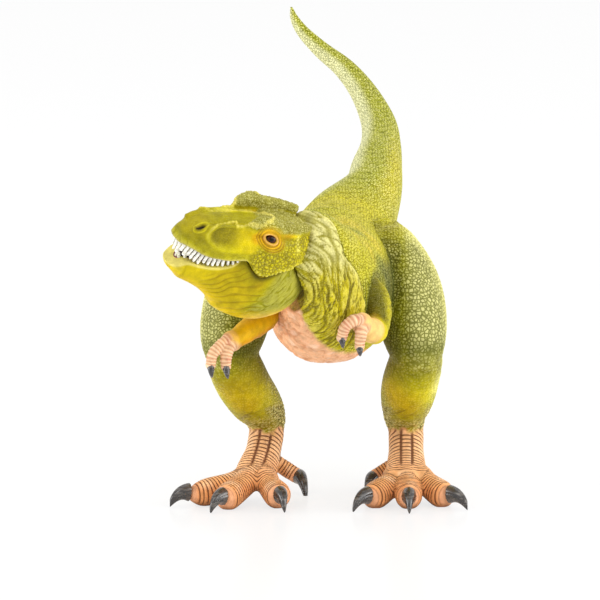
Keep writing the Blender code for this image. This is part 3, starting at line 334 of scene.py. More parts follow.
# Mouth line, rear to snout: place along the head, then the upper lip and the jaw's rim by head height.
MOUTH_SHARES = (
    (-0.220, 0.050, 0.050),
    (-0.070, 0.040, 0.040),
    (0.050, 0.035, 0.035),
    (0.134, -0.012, -0.012),
    (0.236, -0.131, -0.131),
    (0.290, -0.205, -0.205),
    (0.325, -0.225, -0.225),
    (0.355, -0.200, -0.200),
    (0.395, -0.110, -0.110),
    (0.430, -0.010, -0.010),
    (0.466, 0.050, 0.050),
    (0.523, 0.012, -0.075),
    (0.590, -0.031, -0.156),
    (0.682, -0.020, -0.194),
    (0.773, 0.038, -0.184),
    (0.864, 0.138, -0.150),
    (0.955, 0.200, -0.275),
    (1.150, 0.230, -0.290),
)
HINGE_SHARES = (0.045, 0.0, -0.340)
TEETH_START_SHARE = 0.480
FLOOR_START_SHARE = 0.400
MOUTH_MIDDLE_SHARE = 0.300
TONGUE_FILL_SHARE = 0.850
FLOOR_SHARES = ((0.300, -0.380), (0.500, -0.340), (0.700, -0.370), (0.950, -0.300))
TONGUE_SHARES = ((0.440, 0.35), (0.470, 0.75), (0.550, 1.00), (0.660, 0.95), (0.750, 0.80), (0.800, 0.35))

# Ridges and cheeks: place along, out and up, then radius as a share of the head's width.
BROW_SHARES = (
    (0.530, 0.260, 0.650, 0.040), (0.495, 0.275, 0.690, 0.055), (0.460, 0.288, 0.800, 0.080),
    (0.425, 0.296, 0.860, 0.092), (0.355, 0.305, 0.865, 0.092), (0.310, 0.310, 0.815, 0.090),
    (0.230, 0.315, 0.795, 0.085), (0.143, 0.300, 0.775, 0.075), (0.068, 0.260, 0.765, 0.065),
    (0.020, 0.225, 0.755, 0.055),
)
SNOUT_RIDGE_SHARES = (
    (0.880, 0.150, 0.520, 0.038), (0.727, 0.215, 0.620, 0.045), (0.530, 0.260, 0.650, 0.050),
)
CHEEK_SHARES = ((0.390, 0.330, 0.060, 0.080), (0.270, 0.370, -0.060, 0.110), (0.110, 0.350, 0.040, 0.110))
RIDGE_ROOT_SHARE = 2.4

# How square a section is: 2 is an ellipse.
BODY_POWER = 2.15
FLAT_POWER = 2.4
SWEEP_MARGIN = math.radians(1)

# The feet part on a plane across the stance, in millimetres, below the knees.
FEET_PARTING = 8.2

# Teeth and claws, as scene pieces.
UPPER_TEETH = 33
UPPER_TOOTH_WIDTH = 0.00053
UPPER_TOOTH_ROOT = 0.0006
UPPER_TOOTH_INSET_SHARE = 0.75
UPPER_TOOTH_REACH_SHARES = (0.85, 0.9)
LOWER_TEETH = 25
LOWER_TOOTH_WIDTH = 0.00050
LOWER_TOOTH_ROOT = 0.0012
SPUR_CLAW_SHARE = 0.74

# Scutes, in millimetres: how long they are on the instep and on the toes, how far the long ones run on a toe's
# column and on the spur's, and how far apart the columns lie.
INSTEP_SCUTE = 1.75
TOE_SCUTE = 1.2
INSTEP_RUN = 14.0
SPUR_RUN = 2.0
COLUMN_SPREAD = 3.6

# Camera, backdrop and lamps, in metres and watts.
CAMERA_PITCH = math.radians(9.5)
CAMERA_DISTANCE = 1.5
CAMERA_AIM = (0, 0, 0.0633)
CAMERA_LENS = 284.4
CAMERA_SENSOR = 36
FLOOR_RADIUS = 8.0
FLOOR_GREY = 0.93
FLOOR_GLOW_SHARE = 0.72
WORLD_LEVEL = 0.88
LAMP_AIM = (0, 0, 0.07)
LAMPS = (
    ("key", (-0.75, -1.25, 1.35), 0.9, 6),
    ("fill", (1.2, -1.2, 0.9), 1.2, 9),
    ("left_side", (1.7, -0.35, 0.4), 1.0, 14),
    ("right_side", (-1.7, -0.35, 0.4), 1.0, 14),
    ("top", (0.1, 0.25, 1.5), 1.2, 3),
)

MM = 0.001
SIDES = ("left", "right")
UP = (0, 0, 1)
AHEAD = (0, -1, 0)

# Resolution of the skins.
BODY_MELT = 0.00060
BODY_VOXEL = 0.00043
HEAD_MELT = 0.00035
HEAD_FINE_VOXEL = 0.00022
ARM_FINE_VOXEL = 0.00024
TONGUE_VOXEL = 0.00015
FOOT_CLAW_VOXEL = 0.00020
HAND_CLAW_VOXEL = 0.00012

# --- Forms -------------------------------------------------------------------------------------------------


def layout(shares):
    """A place given as shares of the three layout sizes."""
    return Vector((shares[0] * STANCE_WIDTH, shares[1] * TRUNK_LENGTH, shares[2] * BODY_HEIGHT))


def curve_through(rows, steps=6):
    """Rows of numbers read off a smooth curve that passes through the given rows."""
    rows = np.array(rows, float)
    ends = np.vstack([2 * rows[0] - rows[1], rows, 2 * rows[-1] - rows[-2]])
    found = []
    for i in range(1, len(rows)):
        before, start, finish, after = ends[i - 1], ends[i], ends[i + 1], ends[i + 2]
        for t in np.arange(steps) / steps:
            found.append(0.5 * (
                2 * start + (finish - before) * t
                + (2 * before - 5 * start + 4 * finish - after) * t**2
                + (3 * start - 3 * finish + after - before) * t**3
            ))
    found.append(rows[-1])
    return np.array(found)


def placed(name, data):
    """A new object of the scene that holds a mesh, a lamp or a camera."""
    made = bpy.data.objects.new(name, data)
    bpy.context.scene.collection.objects.link(made)
    return made


def object_of(mesh_maker, name):
    mesh = bpy.data.meshes.new(name)
    mesh_maker.to_mesh(mesh)
    mesh_maker.free()
    return placed(name, mesh)


def loft(name, rows, hint, sides=32, power=2.0):
    """A closed tube through rows of x, y, z, half width, height above and depth below the path."""
    made = bmesh.new()
    rings = []
    hint = Vector(hint)
    for i, row in enumerate(rows):
        centre = Vector(row[:3])
        ahead = Vector(rows[min(i + 1, len(rows) - 1)][:3]) - Vector(rows[max(i - 1, 0)][:3])
        ahead.normalize()
        aside = ahead.cross(hint).normalized()
        above = aside.cross(ahead)
        ring = []
        for k in range(sides):
            angle = math.tau * k / sides
            c = math.copysign(abs(math.cos(angle)) ** (2 / power), math.cos(angle))
            s = math.copysign(abs(math.sin(angle)) ** (2 / power), math.sin(angle))
            reach = row[4] if s > 0 else row[5]
            ring.append(made.verts.new(centre + aside * (c * row[3]) + above * (s * reach)))
        rings.append(ring)
    for first, second in zip(rings, rings[1:]):
        for k in range(sides):
            made.faces.new((first[k], first[(k + 1) % sides], second[(k + 1) % sides], second[k]))
    made.faces.new(reversed(rings[0]))
    made.faces.new(rings[-1])
    bmesh.ops.recalc_face_normals(made, faces=made.faces[:])
    return object_of(made, name)


def closed(mesh_maker, name):
    """A closed shape as an object of triangles that face outwards."""
    bmesh.ops.recalc_face_normals(mesh_maker, faces=mesh_maker.faces[:])
    bmesh.ops.triangulate(mesh_maker, faces=mesh_maker.faces[:])
    return object_of(mesh_maker, name)


def stretched(rows, by):
    """Rows with wider sections, and their ends moved out by as much."""
    rows = np.array(rows, float)
    rows[:, 3:] += by
    for end, inner in ((0, 1), (-1, -2)):
        run = rows[end, :3] - rows[inner, :3]
        rows[end, :3] += run / np.linalg.norm(run) * by
    return rows


def limb_rows(places, sections, width, depth, extra=0):
    """A smooth run through places, with sections as shares of a width and a depth, grown by an extra."""
    rows = [(*place, s[0] * width, s[1] * depth, s[1] * depth) for place, s in zip(places, sections)]
    return stretched(curve_through(rows), extra)


def ball(name, place, radius, stretch=(1, 1, 1)):
    made = bmesh.new()
    bmesh.ops.create_icosphere(made, subdivisions=4, radius=radius)
    matrix = Matrix.Translation(place) @ Matrix.Diagonal((*stretch, 1))
    bmesh.ops.transform(made, matrix=matrix, verts=made.verts[:])
    return object_of(made, name)


def rod(name, start, finish, radius):
    start = Vector(start)
    finish = Vector(finish)
    run = finish - start
    made = bmesh.new()
    bmesh.ops.create_cone(
        made, cap_ends=True, segments=32, radius1=radius, radius2=radius, depth=run.length,
        matrix=Matrix.Translation((start + finish) / 2) @ run.to_track_quat("Z", "Y").to_matrix().to_4x4(),
    )
    return object_of(made, name)


def block(name, low, high):
    low = Vector(low)
    high = Vector(high)
    made = bmesh.new()
    size = Matrix.Diagonal((*(high - low), 1))
    bmesh.ops.create_cube(made, size=1, matrix=Matrix.Translation((low + high) / 2) @ size)
    return object_of(made, name)


def baked(obj):
    """The object with its modifiers applied."""
    graph = bpy.context.evaluated_depsgraph_get()
    mesh = bpy.data.meshes.new_from_object(obj.evaluated_get(graph))
    obj.modifiers.clear()
    old = obj.data
    obj.data = mesh
    bpy.data.meshes.remove(old)
    return obj


def joined(name, pieces):
    made = bmesh.new()
    for piece in pieces:
        made.from_mesh(piece.data)
        bpy.data.objects.remove(piece)
    return object_of(made, name)


def remeshed(obj, voxel, rounds):
    """The object as one even skin of the given voxel size, smoothed by a number of rounds."""
    remesh = obj.modifiers.new("skin", "REMESH")
    remesh.mode = "VOXEL"
    remesh.voxel_size = voxel
    smooth = obj.modifiers.new("smooth", "SMOOTH")
    smooth.factor = 0.5
    smooth.iterations = rounds
    return baked(obj)


def combined(target, tool, operation):
    change = target.modifiers.new("join", "BOOLEAN")
    change.operation = operation
    change.solver = "MANIFOLD"
    change.object = tool
    baked(target)
    bpy.data.objects.remove(tool)
    return target


def thinned(obj, faces):
    """The object at about the given number of triangles."""
    thin = obj.modifiers.new("thin", "DECIMATE")
    thin.ratio = min(1.0, faces / (2 * len(obj.data.polygons)))
    thin.use_collapse_triangulate = True
    return baked(obj)


def spine_rows():
    rows = []
    for across, along, up, wide, above, below in TRUNK_SHARES:
        rows.append((*layout((across, along, up)), wide * TRUNK_WIDTH, above * TRUNK_DEPTH, below * TRUNK_DEPTH))
    root = layout(TRUNK_SHARES[-1][:3])
    for along, rise, swing, wide, above, below in TAIL_SHARES:
        place = root + Vector((swing * TAIL_SWING, along * TAIL_LENGTH, rise * TAIL_RISE))
        rows.append((*place, wide * TAIL_ROOT_WIDTH, above * TAIL_ROOT_WIDTH, below * TAIL_ROOT_WIDTH))
    return rows


def leg_parts(side, extra=0):
    """Name, path rows and hint of each part of a leg: x, y, z, half width, height and depth."""
    shares = LEG_SHARES[side]
    made = []
    for name, sections, width, depth, hint in (
        ("thigh", THIGH_SECTION_SHARES, THIGH_WIDTH, THIGH_DEPTH, AHEAD),
        ("calf", CALF_SECTION_SHARES, CALF_WIDTH, CALF_DEPTH, AHEAD),
        ("instep", INSTEP_SECTION_SHARES, INSTEP_WIDTH, INSTEP_DEPTH, AHEAD),
        ("spur", TOE_SECTION_SHARES, SPUR_WIDTH, SPUR_WIDTH, UP),
    ):
        places = [layout(p) for p in shares[name]]
        made.append((name, limb_rows(places, sections, width, depth, extra), hint))
    for toe_shares in shares["toes"]:
        toe = curve_through([layout(p) for p in toe_shares], 2)
        spread = np.linspace(0, len(toe) - 1, len(TOE_SECTION_SHARES)).round().astype(int)
        made.append(("toe", limb_rows(toe[spread], TOE_SECTION_SHARES, TOE_WIDTH, TOE_HEIGHT, extra), UP))
    return made


def leg_region(side, margin):
    """The space round one thigh and calf, in which the skin belongs to that leg."""
    pieces = [loft(name, rows, hint) for name, rows, hint in leg_parts(side, margin)[:2]]
    return combined(*pieces, "UNION")


def chest_place(shares):
    chest = layout(TRUNK_SHARES[3][:3])
    return chest + Vector((shares[0] * TRUNK_WIDTH, shares[1] * TRUNK_LENGTH, shares[2] * TRUNK_DEPTH))


def head_frame():
    """The head's own axes placed in the figure: turned to its right, nose up, crown tipped to its left."""
    facing = Matrix(((0, 1, 0), (-1, 0, 0), (0, 0, 1)))
    turn = Matrix.Rotation(-HEAD_YAW, 3, "Z") @ facing
    turn = turn @ Matrix.Rotation(-HEAD_PITCH, 3, "Y") @ Matrix.Rotation(-HEAD_ROLL, 3, "X")
    return Matrix.Translation(layout(HEAD_PLACE_SHARES)) @ turn.to_4x4()


def head_point(along, out, up):
    return Vector((along * HEAD_LENGTH, out * HEAD_WIDTH, up * HEAD_HEIGHT))


def ridge(name, shares, side, extra=0, root=1):
    rows = []
    for along, out, up, thick in shares:
        size = thick * HEAD_WIDTH
        rows.append((*head_point(along, side * out, up), size, size, size * root))
    return loft(name, stretched(curve_through(rows), extra), UP, 20)


def head_tube(name, shares, height, depth, extra=0):
    rows = []
    for along, top, bottom, wide in shares:
        high = top * height
        low = bottom * depth
        half = (high - low) / 2
        rows.append((along * HEAD_LENGTH, 0, (high + low) / 2, wide * HEAD_WIDTH, half, half))
    return loft(name, stretched(curve_through(rows), extra), UP, 48, FLAT_POWER)


MOUTH_LINE = curve_through([(x * HEAD_LENGTH, lip * HEAD_HEIGHT, rim * HEAD_HEIGHT) for x, lip, rim in MOUTH_SHARES])
FLOOR_LINE = curve_through(FLOOR_SHARES)


def lip_height(x):
    """Height of the upper lip at a place along the head."""
    return np.interp(x, MOUTH_LINE[:, 0], MOUTH_LINE[:, 1])


def rim_height(x):
    """Height of the lower jaw's rim at a place along the head."""
    return np.interp(x, MOUTH_LINE[:, 0], MOUTH_LINE[:, 2])


def floor_height(x):
    return np.interp(x, FLOOR_LINE[:, 0] * HEAD_LENGTH, FLOOR_LINE[:, 1] * HEAD_HEIGHT)


def mouth_side(name, above, offset):
    """Everything above the upper lip, or everything below the jaw's rim, moved up by an offset."""
    column = 1 if above else 2
    reach = (HEAD_HEIGHT if above else -JAW_DEPTH) * 2
    outline = [(row[0], row[column] + offset) for row in MOUTH_LINE]
    outline += [(MOUTH_LINE[-1][0], reach), (MOUTH_LINE[0][0], reach)]
    made = bmesh.new()
    near = [made.verts.new((x, HEAD_WIDTH, z)) for x, z in outline]
    far = [made.verts.new((x, -HEAD_WIDTH, z)) for x, z in outline]
    made.faces.new(near)
    made.faces.new(list(reversed(far)))
    for k in range(len(outline)):
        after = (k + 1) % len(outline)
        made.faces.new((near[k], far[k], far[after], near[after]))
    return closed(made, name)


def spaced(line, count):
    """Evenly spaced places on a line of places."""
    line = np.array(line)
    run = np.concatenate([[0], np.cumsum(np.linalg.norm(np.diff(line, axis=0), axis=1))])
    at = np.linspace(0, run[-1], count)
    return np.stack([np.interp(at, run, line[:, k]) for k in range(line.shape[1])], axis=1)


def mouth_curve(table, inset, start_share, count=40):
    """Evenly spaced places on a U round the mouth, set in from the table's edge, left rear to right rear."""
    plan = curve_through([(row[0] * HEAD_LENGTH, row[3] * HEAD_WIDTH) for row in table])
    start = start_share * HEAD_LENGTH
    tip = plan[-1][0]
    along_scale = (tip - inset - start) / (tip - start)
    across_scale = 1 - inset / (MOUTH_MIDDLE_SHARE * HEAD_WIDTH)
    side = [(start + (x - start) * along_scale, y * across_scale) for x, y in plan if x > start]
    return spaced(side + [(x, -y) for x, y in reversed(side)], count)


def mouth_recess(name, table, inset, start_share, low, high):
    """A solid inside the mouth curve, between two heights that depend on the place along the head."""
    line = mouth_curve(table, inset, start_share)
    made = bmesh.new()
    floor = [made.verts.new((x, y, low(x))) for x, y in line]
    roof = [made.verts.new((x, y, high(x))) for x, y in line]
    count = len(line)
    for k in range(count):
        after = (k + 1) % count
        made.faces.new((floor[k], floor[after], roof[after], roof[k]))
    for k in range(count // 2 - 1):
        far = count - 1 - k
        made.faces.new((floor[k], floor[far], floor[far - 1], floor[k + 1]))
        made.faces.new((roof[k], roof[k + 1], roof[far - 1], roof[far]))
    return closed(made, name)


def jaw_sweep(extra, share):
    """The lower jaw's outer form, grown by an extra, at a share of its opening."""
    jaw = head_tube("sweep", JAW_SHARES, HEAD_HEIGHT, JAW_DEPTH, extra)
    combined(jaw, mouth_side("lower", False, extra - MOUTH_GAP / 2), "INTERSECT")
    hinge = head_point(*HINGE_SHARES)
    angle = JAW_OPENING * share + (SWEEP_MARGIN if share == 1 else 0)
    turn = Matrix.Translation(hinge) @ Matrix.Rotation(angle, 4, "Y") @ Matrix.Translation(-hinge)
    jaw.data.transform(turn)
    return jaw


def swept_space(extra, first_step, others=()):
    """All the room that the lower jaw passes through from a step of its opening on."""
    pieces = [jaw_sweep(extra, step / 5) for step in range(first_step, 6)]
    return thinned(remeshed(joined("swept", [*pieces, *others]), HEAD_MELT, 2), 6000)


# --- Fields over a mesh's points ---------------------------------------------------------------------------


def points_of(obj):
    found = np.empty(len(obj.data.vertices) * 3)
    obj.data.vertices.foreach_get("co", found)
    return found.reshape(-1, 3)


def surface_of(obj):
    """Points in millimetres and normals, then both with the right half turned over onto the left one."""
    P = points_of(obj) / MM
    N = np.empty(len(P) * 3)
    obj.data.vertex_normals.foreach_get("vector", N)
    N = N.reshape(-1, 3)
    Q = np.column_stack([P[:, 0], np.abs(P[:, 1]), P[:, 2]])
    NQ = np.column_stack([N[:, 0], N[:, 1] * np.where(P[:, 1] > 0, 1, -1), N[:, 2]])
    return P, N, Q, NQ


def moved_to(obj, points):
    obj.data.vertices.foreach_set("co", points.ravel())
    obj.data.update()


def ease(low, high, x):
    """0 below low, 1 above high and smooth between. With low above high it falls instead."""
    t = np.clip((x - low) / (high - low), 0, 1)
    return t * t * (3 - 2 * t)


def chance(cells, seed):
    """Repeatable values between 0 and 1 for whole-number places."""
    cells = cells.astype(np.int64)
    n = cells[..., 0] * 73856093 ^ cells[..., 1] * 19349663 ^ cells[..., 2] * 83492791 ^ seed * 7919
    n = (n ^ (n >> 13)) * 1274126177 & 0x7FFFFFFF
    return ((n ^ (n >> 15)) & 0xFFFF) / 0xFFFF


def noise(points, size, seed=0):
    """Soft noise between -1 and 1 with lumps of the given size."""
    q = points / size
    base = np.floor(q)
    f = q - base
    f = f * f * (3 - 2 * f)
    total = 0
    for corner in np.ndindex(2, 2, 2):
        share = np.prod(np.where(corner, f, 1 - f), axis=-1)
        total = total + share * chance(base + corner, seed)
    return np.clip((total * 2 - 1) * 1.35, -1, 1)


def pebbles(points, size, seed=0):
    """Round pebbles: height from 0 at their edges to 1 at their tops, and a chance value of each pebble."""
    q = points / size
    base = np.floor(q)
    nearest = np.full(len(q), 9.0)
    second = np.full(len(q), 9.0)
    value = np.zeros(len(q))
    for step in np.ndindex(3, 3, 3):
        cell = base + step - 1
        centre = cell + 0.5 + 0.8 * (np.stack([chance(cell, seed + k) for k in (1, 2, 3)], axis=1) - 0.5)
        far = np.linalg.norm(q - centre, axis=1)
        closer = far < nearest
        second = np.where(closer, nearest, np.minimum(second, far))
        value = np.where(closer, chance(cell, seed + 4), value)
        nearest = np.where(closer, far, nearest)
    return ease(0, 0.45, second - nearest), value


def folds(run, points, spacing, wobble, seed):
    """Long wavy folds that cross a run: height from 0 in a crease to 1 on a crest."""
    bend = noise(points, spacing * 5, seed) * wobble + noise(points, spacing * 2, seed + 9) * 0.4 * wobble
    crest = 1 - np.abs(2 * ((run + bend) / spacing % 1) - 1)
    return crest * (0.72 + 0.28 * noise(points, spacing * 2.5, seed + 5))


def wrinkles(run, points, spacing, length, seed):
    """Broken folds that cross a run: height from 0 in a crease to 1 on a crest."""
    bend = noise(points, spacing * 4, seed) * spacing * 0.8
    long = points / (spacing * length)
    q = np.column_stack([(run + bend) / spacing, long[:, 0] + 0.5 * long[:, 1], long[:, 2] + 0.5 * long[:, 1]])
    first = ease(0.26, 0.0, np.abs(noise(q, 1, seed + 1)))
    second = ease(0.30, 0.0, np.abs(noise(q * 1.9, 1, seed + 2)))
    return 1 - np.maximum(first, 0.65 * second)


def creases(points, across, spacing, length, seed):
    """Broken wrinkles that lie square to a direction: 1 in a wrinkle's line and 0 away from it."""
    across = np.array(across, float)
    across = across / np.linalg.norm(across)
    bent = points + noise(points, spacing * 5, seed)[:, None] * spacing * 1.4
    along = np.outer(bent @ across, across)
    q = along / spacing + (bent - along) / (spacing * length)
    return ease(0.28, 0.0, np.abs(noise(q, 1, seed + 3)))


def near(points, centre, radius, soft=0.5):
    """1 at a place and 0 outside the radius round it."""
    return ease(radius, radius * soft, np.linalg.norm(points - np.array(centre), axis=1))


def from_path(points, path):
    """Distance to a path, the run along it, and which of its places is nearest."""
    path = np.array(path)[:, :3]
    run = np.concatenate([[0], np.cumsum(np.linalg.norm(np.diff(path, axis=0), axis=1))])
    best = np.full(len(points), 1e9)
    at = np.zeros(len(points))
    index = np.zeros(len(points), int)
    for i in range(len(path) - 1):
        step = path[i + 1] - path[i]
        t = np.clip((points - path[i]) @ step / (step @ step), 0, 1)
        far = np.linalg.norm(points - path[i] - t[:, None] * step, axis=1)
        closer = far < best
        best = np.where(closer, far, best)
        at = np.where(closer, run[i] + t * (run[i + 1] - run[i]), at)
        index = np.where(closer, i + t, index).astype(float)
    return best, at, index


def inside(points, tree):
    """Signed distance to a closed shape, above 0 inside it."""
    found = np.empty(len(points))
    for i, point in enumerate(points):
        place, normal, _, far = tree.find_nearest(point)
        found[i] = far if (Vector(point) - place).dot(normal) < 0 else -far
    return found


def copied(source):
    made = source.copy()
    made.data = source.data.copy()
    return made


def tree_of(obj):
    made = bmesh.new()
    made.from_mesh(obj.data)
    tree = BVHTree.FromBMesh(made)
    made.free()
    bpy.data.objects.remove(obj)
    return tree


def linear(colour):
    """A colour of the screen, 0 to 255, as light."""
    share = np.array(colour, float) / 255
    return np.where(share <= 0.04045, share / 12.92, ((share + 0.055) / 1.055) ** 2.4)


class Paint:
    """Colours over a mesh's points, laid on in coats."""

    def __init__(self, count, colour):
        self.light = np.tile(linear(colour), (count, 1))

    def coat(self, mask, colour, strength=1.0):
        mask = np.clip(mask, 0, 1) * strength
        self.light += (linear(colour) - self.light) * mask[:, None]

    def coats(self, *rows):
        """Coats laid one over another, in order."""
        for row in rows:
            self.coat(*row)

    def rich(self, share):
        """Makes every colour purer by a share."""
        grey = self.light @ np.array((0.3, 0.6, 0.1))
        self.light = np.clip(self.light + (self.light - grey[:, None]) * share, 0.001, 1)


def give(obj, **fields):
    """Puts fields on the mesh as attributes: one number, three or a colour for each point."""
    for name, values in fields.items():
        if values.ndim == 1:
            obj.data.attributes.new(name, "FLOAT", "POINT").data.foreach_set("value", values.astype(np.float32))
        elif name == "paint":
            colour = np.column_stack([values, np.ones(len(values))]).astype(np.float32)
            obj.data.attributes.new(name, "FLOAT_COLOR", "POINT").data.foreach_set("color", colour.ravel())
        else:
            made = obj.data.attributes.new(name, "FLOAT_VECTOR", "POINT")
            made.data.foreach_set("vector", values.astype(np.float32).ravel())


# --- Materials ---------------------------------------------------------------------------------------------


class Wire:
    """An output of a node, with plain arithmetic."""

    def __init__(self, net, socket):
        self.net = net
        self.socket = socket

    def __add__(self, other):
        return self.net.maths("ADD", self, other)

    def __mul__(self, other):
        return self.net.maths("MULTIPLY", self, other)

    def __sub__(self, other):
        return self.net.maths("SUBTRACT", self, other)

    def __rsub__(self, other):
        return self.net.maths("SUBTRACT", other, self)

    def __pow__(self, other):
        return self.net.maths("POWER", self, other)

    def __rpow__(self, other):
        return self.net.maths("POWER", other, self)

    __radd__ = __add__
    __rmul__ = __mul__


class Net:
    """A tree of nodes, with one call for each node."""

    def __init__(self, tree):
        self.tree = tree

    def feed(self, socket, value):
        """Links a socket to a wire, or sets it."""
        if isinstance(value, Wire):
            self.tree.links.new(value.socket, socket)
        elif socket.type == "RGBA":
            socket.default_value = (*value, 1)
        else:
            socket.default_value = value

    def add(self, kind, inputs=(), output=0, **settings):
        """A node with its settings, then its inputs linked or set: one output of it, or the node itself."""
        made = self.tree.nodes.new(kind)
        for name, value in settings.items():
            setattr(made, name, value)
        for key, value in dict(inputs).items():
            self.feed(made.inputs[key], value)
        return Wire(self, made.outputs[output]) if output is not None else made

    def maths(self, operation, *values):
        return self.add("ShaderNodeMath", dict(enumerate(values)), operation=operation)

    def parts(self, vector):
        """The three numbers of a vector."""
        return [Wire(self, output) for output in self.add("ShaderNodeSeparateXYZ", {0: vector}, None).outputs]


class Finish(Net):
    """One material's nodes."""

    def __init__(self, name):
        self.material = bpy.data.materials.new(name)
        self.material.use_nodes = True
        super().__init__(self.material.node_tree)
        self.shader = self.tree.nodes["Principled BSDF"]

    def place(self):
        """Object coordinates in millimetres."""
        here = self.add("ShaderNodeTexCoord", (), "Object")
        return self.add("ShaderNodeVectorMath", {0: here, "Scale": 1 / MM}, operation="SCALE")

    def attribute(self, name, output="Fac"):
        return self.add("ShaderNodeAttribute", (), output, attribute_name=name)

    def tone(self, value):
        """A grey of the given level."""
        return self.add("ShaderNodeCombineColor", dict.fromkeys(range(3), value))

    def grain(self, place, size, detail=2.0, output="Fac"):
        return self.add("ShaderNodeTexNoise", {"Vector": place, "Scale": 1 / size, "Detail": detail}, output)

    def cells(self, place, size, feature="DISTANCE_TO_EDGE", output="Distance"):
        inputs = {"Vector": place, "Scale": 1 / size, "Randomness": 0.7}
        return self.add("ShaderNodeTexVoronoi", inputs, output, feature=feature)

    def ease(self, value, low, high, start=0.0, finish=1.0):
        inputs = dict(enumerate((value, low, high, start, finish)))
        return self.add("ShaderNodeMapRange", inputs, interpolation_type="SMOOTHSTEP")

    def blend(self, share, first, second, kind="MIX"):
        return self.add("ShaderNodeMix", {0: share, 6: first, 7: second}, 2, data_type="RGBA", blend_type=kind)

    def bump(self, height, depth):
        return self.add("ShaderNodeBump", {"Height": height, "Distance": depth, "Strength": 1.0}, "Normal")

    def finish(self, colour, roughness, normal, **plain):
        """The material with what varies linked and what doesn't set on the shader."""
        varied = {"Base Color": colour, "Roughness": roughness, "Normal": normal}
        for name, value in {**varied, **plain}.items():
            self.feed(self.shader.inputs[name.replace("_", " ")], value)
        return self.material


def skin_material(name, small, large, wash_and_gap_shade, frost, depth):
    """Painted soft plastic with moulded pebbles of two sizes, scutes on the feet, a dark wash that also paints shade
    in the gaps and dry-brushed tops that also paint highlights.
    """
    net = Finish(name)
    place = net.place()
    shift = {0: net.grain(place, 2.4, 1.0, "Color"), 1: (0.5, 0.5, 0.5), 2: place}
    bent = net.add("ShaderNodeVectorMath", shift, operation="MULTIPLY_ADD")
    size = net.attribute("scale_size")
    strength = net.attribute("scale_depth")
    fine = net.cells(bent, small)
    coarse = net.cells(bent, large)
    edge = fine + (coarse - fine) * size
    gap = net.ease(edge, 0.15, 0.03) * strength
    top = net.ease(edge, 0.09, 0.26) * strength
    which = net.parts(net.cells(bent, large, "F1", "Color"))[0]
    row, groove, plated = net.parts(net.attribute("rows", "Vector"))
    middle = net.maths("ABSOLUTE", net.maths("FRACT", row) - 0.5)
    line = net.maths("MAXIMUM", net.ease(middle, 0.28, 0.42), groove) * plated
    paint = net.attribute("paint", "Color")
    mottle = net.ease(net.grain(place, 2.3, 3.0), 0.3, 0.7, 0.86, 1.12)
    painted = net.blend(1.0, paint, net.tone(mottle), "MULTIPLY")
    # The dark wash in the gaps between pebbles also paints the shade that falls there.
    washed_and_shaded = net.blend(1.0, painted, linear(wash_and_gap_shade), "MULTIPLY")
    colour = net.blend(gap * 0.9, painted, washed_and_shaded)
    # The pale dry-brush on the pebbles' tops also paints their highlights.
    frosted = top * net.ease(which, 0.1, 0.8, 0.6, 1.0) * net.attribute("frost")
    colour = net.blend(frosted, colour, linear(frost))
    # Dark scute lines, and dark grooves between the columns and the toes that also paint the shade in those creases.
    colour = net.blend(line * 0.85, colour, linear((92, 48, 30)))
    height = top * 0.6 - gap * 0.4 - line * 0.9
    height = height + net.grain(place, 0.45, 3.0) * 0.25
    rough = net.ease(edge, 0.05, 0.4, 0.55, 0.40)
    return net.finish(colour, rough, net.bump(height, depth), Specular_IOR_Level=0.12)


def plain_material(name, dark, pale, size, roughness, depth, **plain):
    """Moulded plastic of one colour, with fine streaks and a soft change of tone."""
    net = Finish(name)
    place = net.place()
    tone = net.ease(net.grain(place, size, 4.0), 0.3, 0.7)
    colour = net.blend(tone, linear(dark), linear(pale))
    rough = net.ease(tone, 0.0, 1.0, roughness * 1.2, roughness * 0.85)
    return net.finish(colour, rough, net.bump(net.grain(place, size * 0.5, 3.0), depth), **plain)


def painted_material(name, roughness, depth, **plain):
    """A small piece that carries its own paint."""
    net = Finish(name)
    place = net.place()
    mottle = net.tone(net.ease(net.grain(place, 0.7, 4.0), 0.3, 0.7, 0.85, 1.1))
    colour = net.blend(1.0, net.attribute("paint", "Color"), mottle, "MULTIPLY")
    rough = net.ease(net.grain(place, 1.1, 2.0), 0.3, 0.7, roughness * 0.8, roughness * 1.2)
    return net.finish(colour, rough, net.bump(net.grain(place, 0.35, 3.0), depth), **plain)


# --- Placing -----------------------------------------------------------------------------------------------

PLACE = head_frame()
HINGE = head_point(*HINGE_SHARES)
pin_low, pin_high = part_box("jaw_pin")
SHIFT = (pin_low + pin_high) / 2 - PLACE @ HINGE

# The camera looks down a little, from far away, at the middle of the figure.
CAMERA = Vector(CAMERA_AIM) - Vector((0, math.cos(CAMERA_PITCH), -math.sin(CAMERA_PITCH))) * CAMERA_DISTANCE
SIGHT = PLACE.inverted() @ CAMERA


def settled(obj, body, material, nodes=(), matrix=Matrix.Identity(4)):
    """Moves a finished piece to its place in the figure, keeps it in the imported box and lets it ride."""
    obj.data.transform(Matrix.Translation(SHIFT) @ matrix)
    points = np.clip(points_of(obj), np.array(cad_low) + 2e-5, np.array(cad_high) - 2e-5)
    points[:, 2] = np.maximum(points[:, 2], 0)
    moved_to(obj, points)
    obj.data.materials.clear()
    obj.data.materials.append(material)
    obj.data.shade_smooth()
    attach(obj, body)
    if nodes:
        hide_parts(*nodes)
    return obj


# --- Trunk, tail and legs ----------------------------------------------------------------------------------

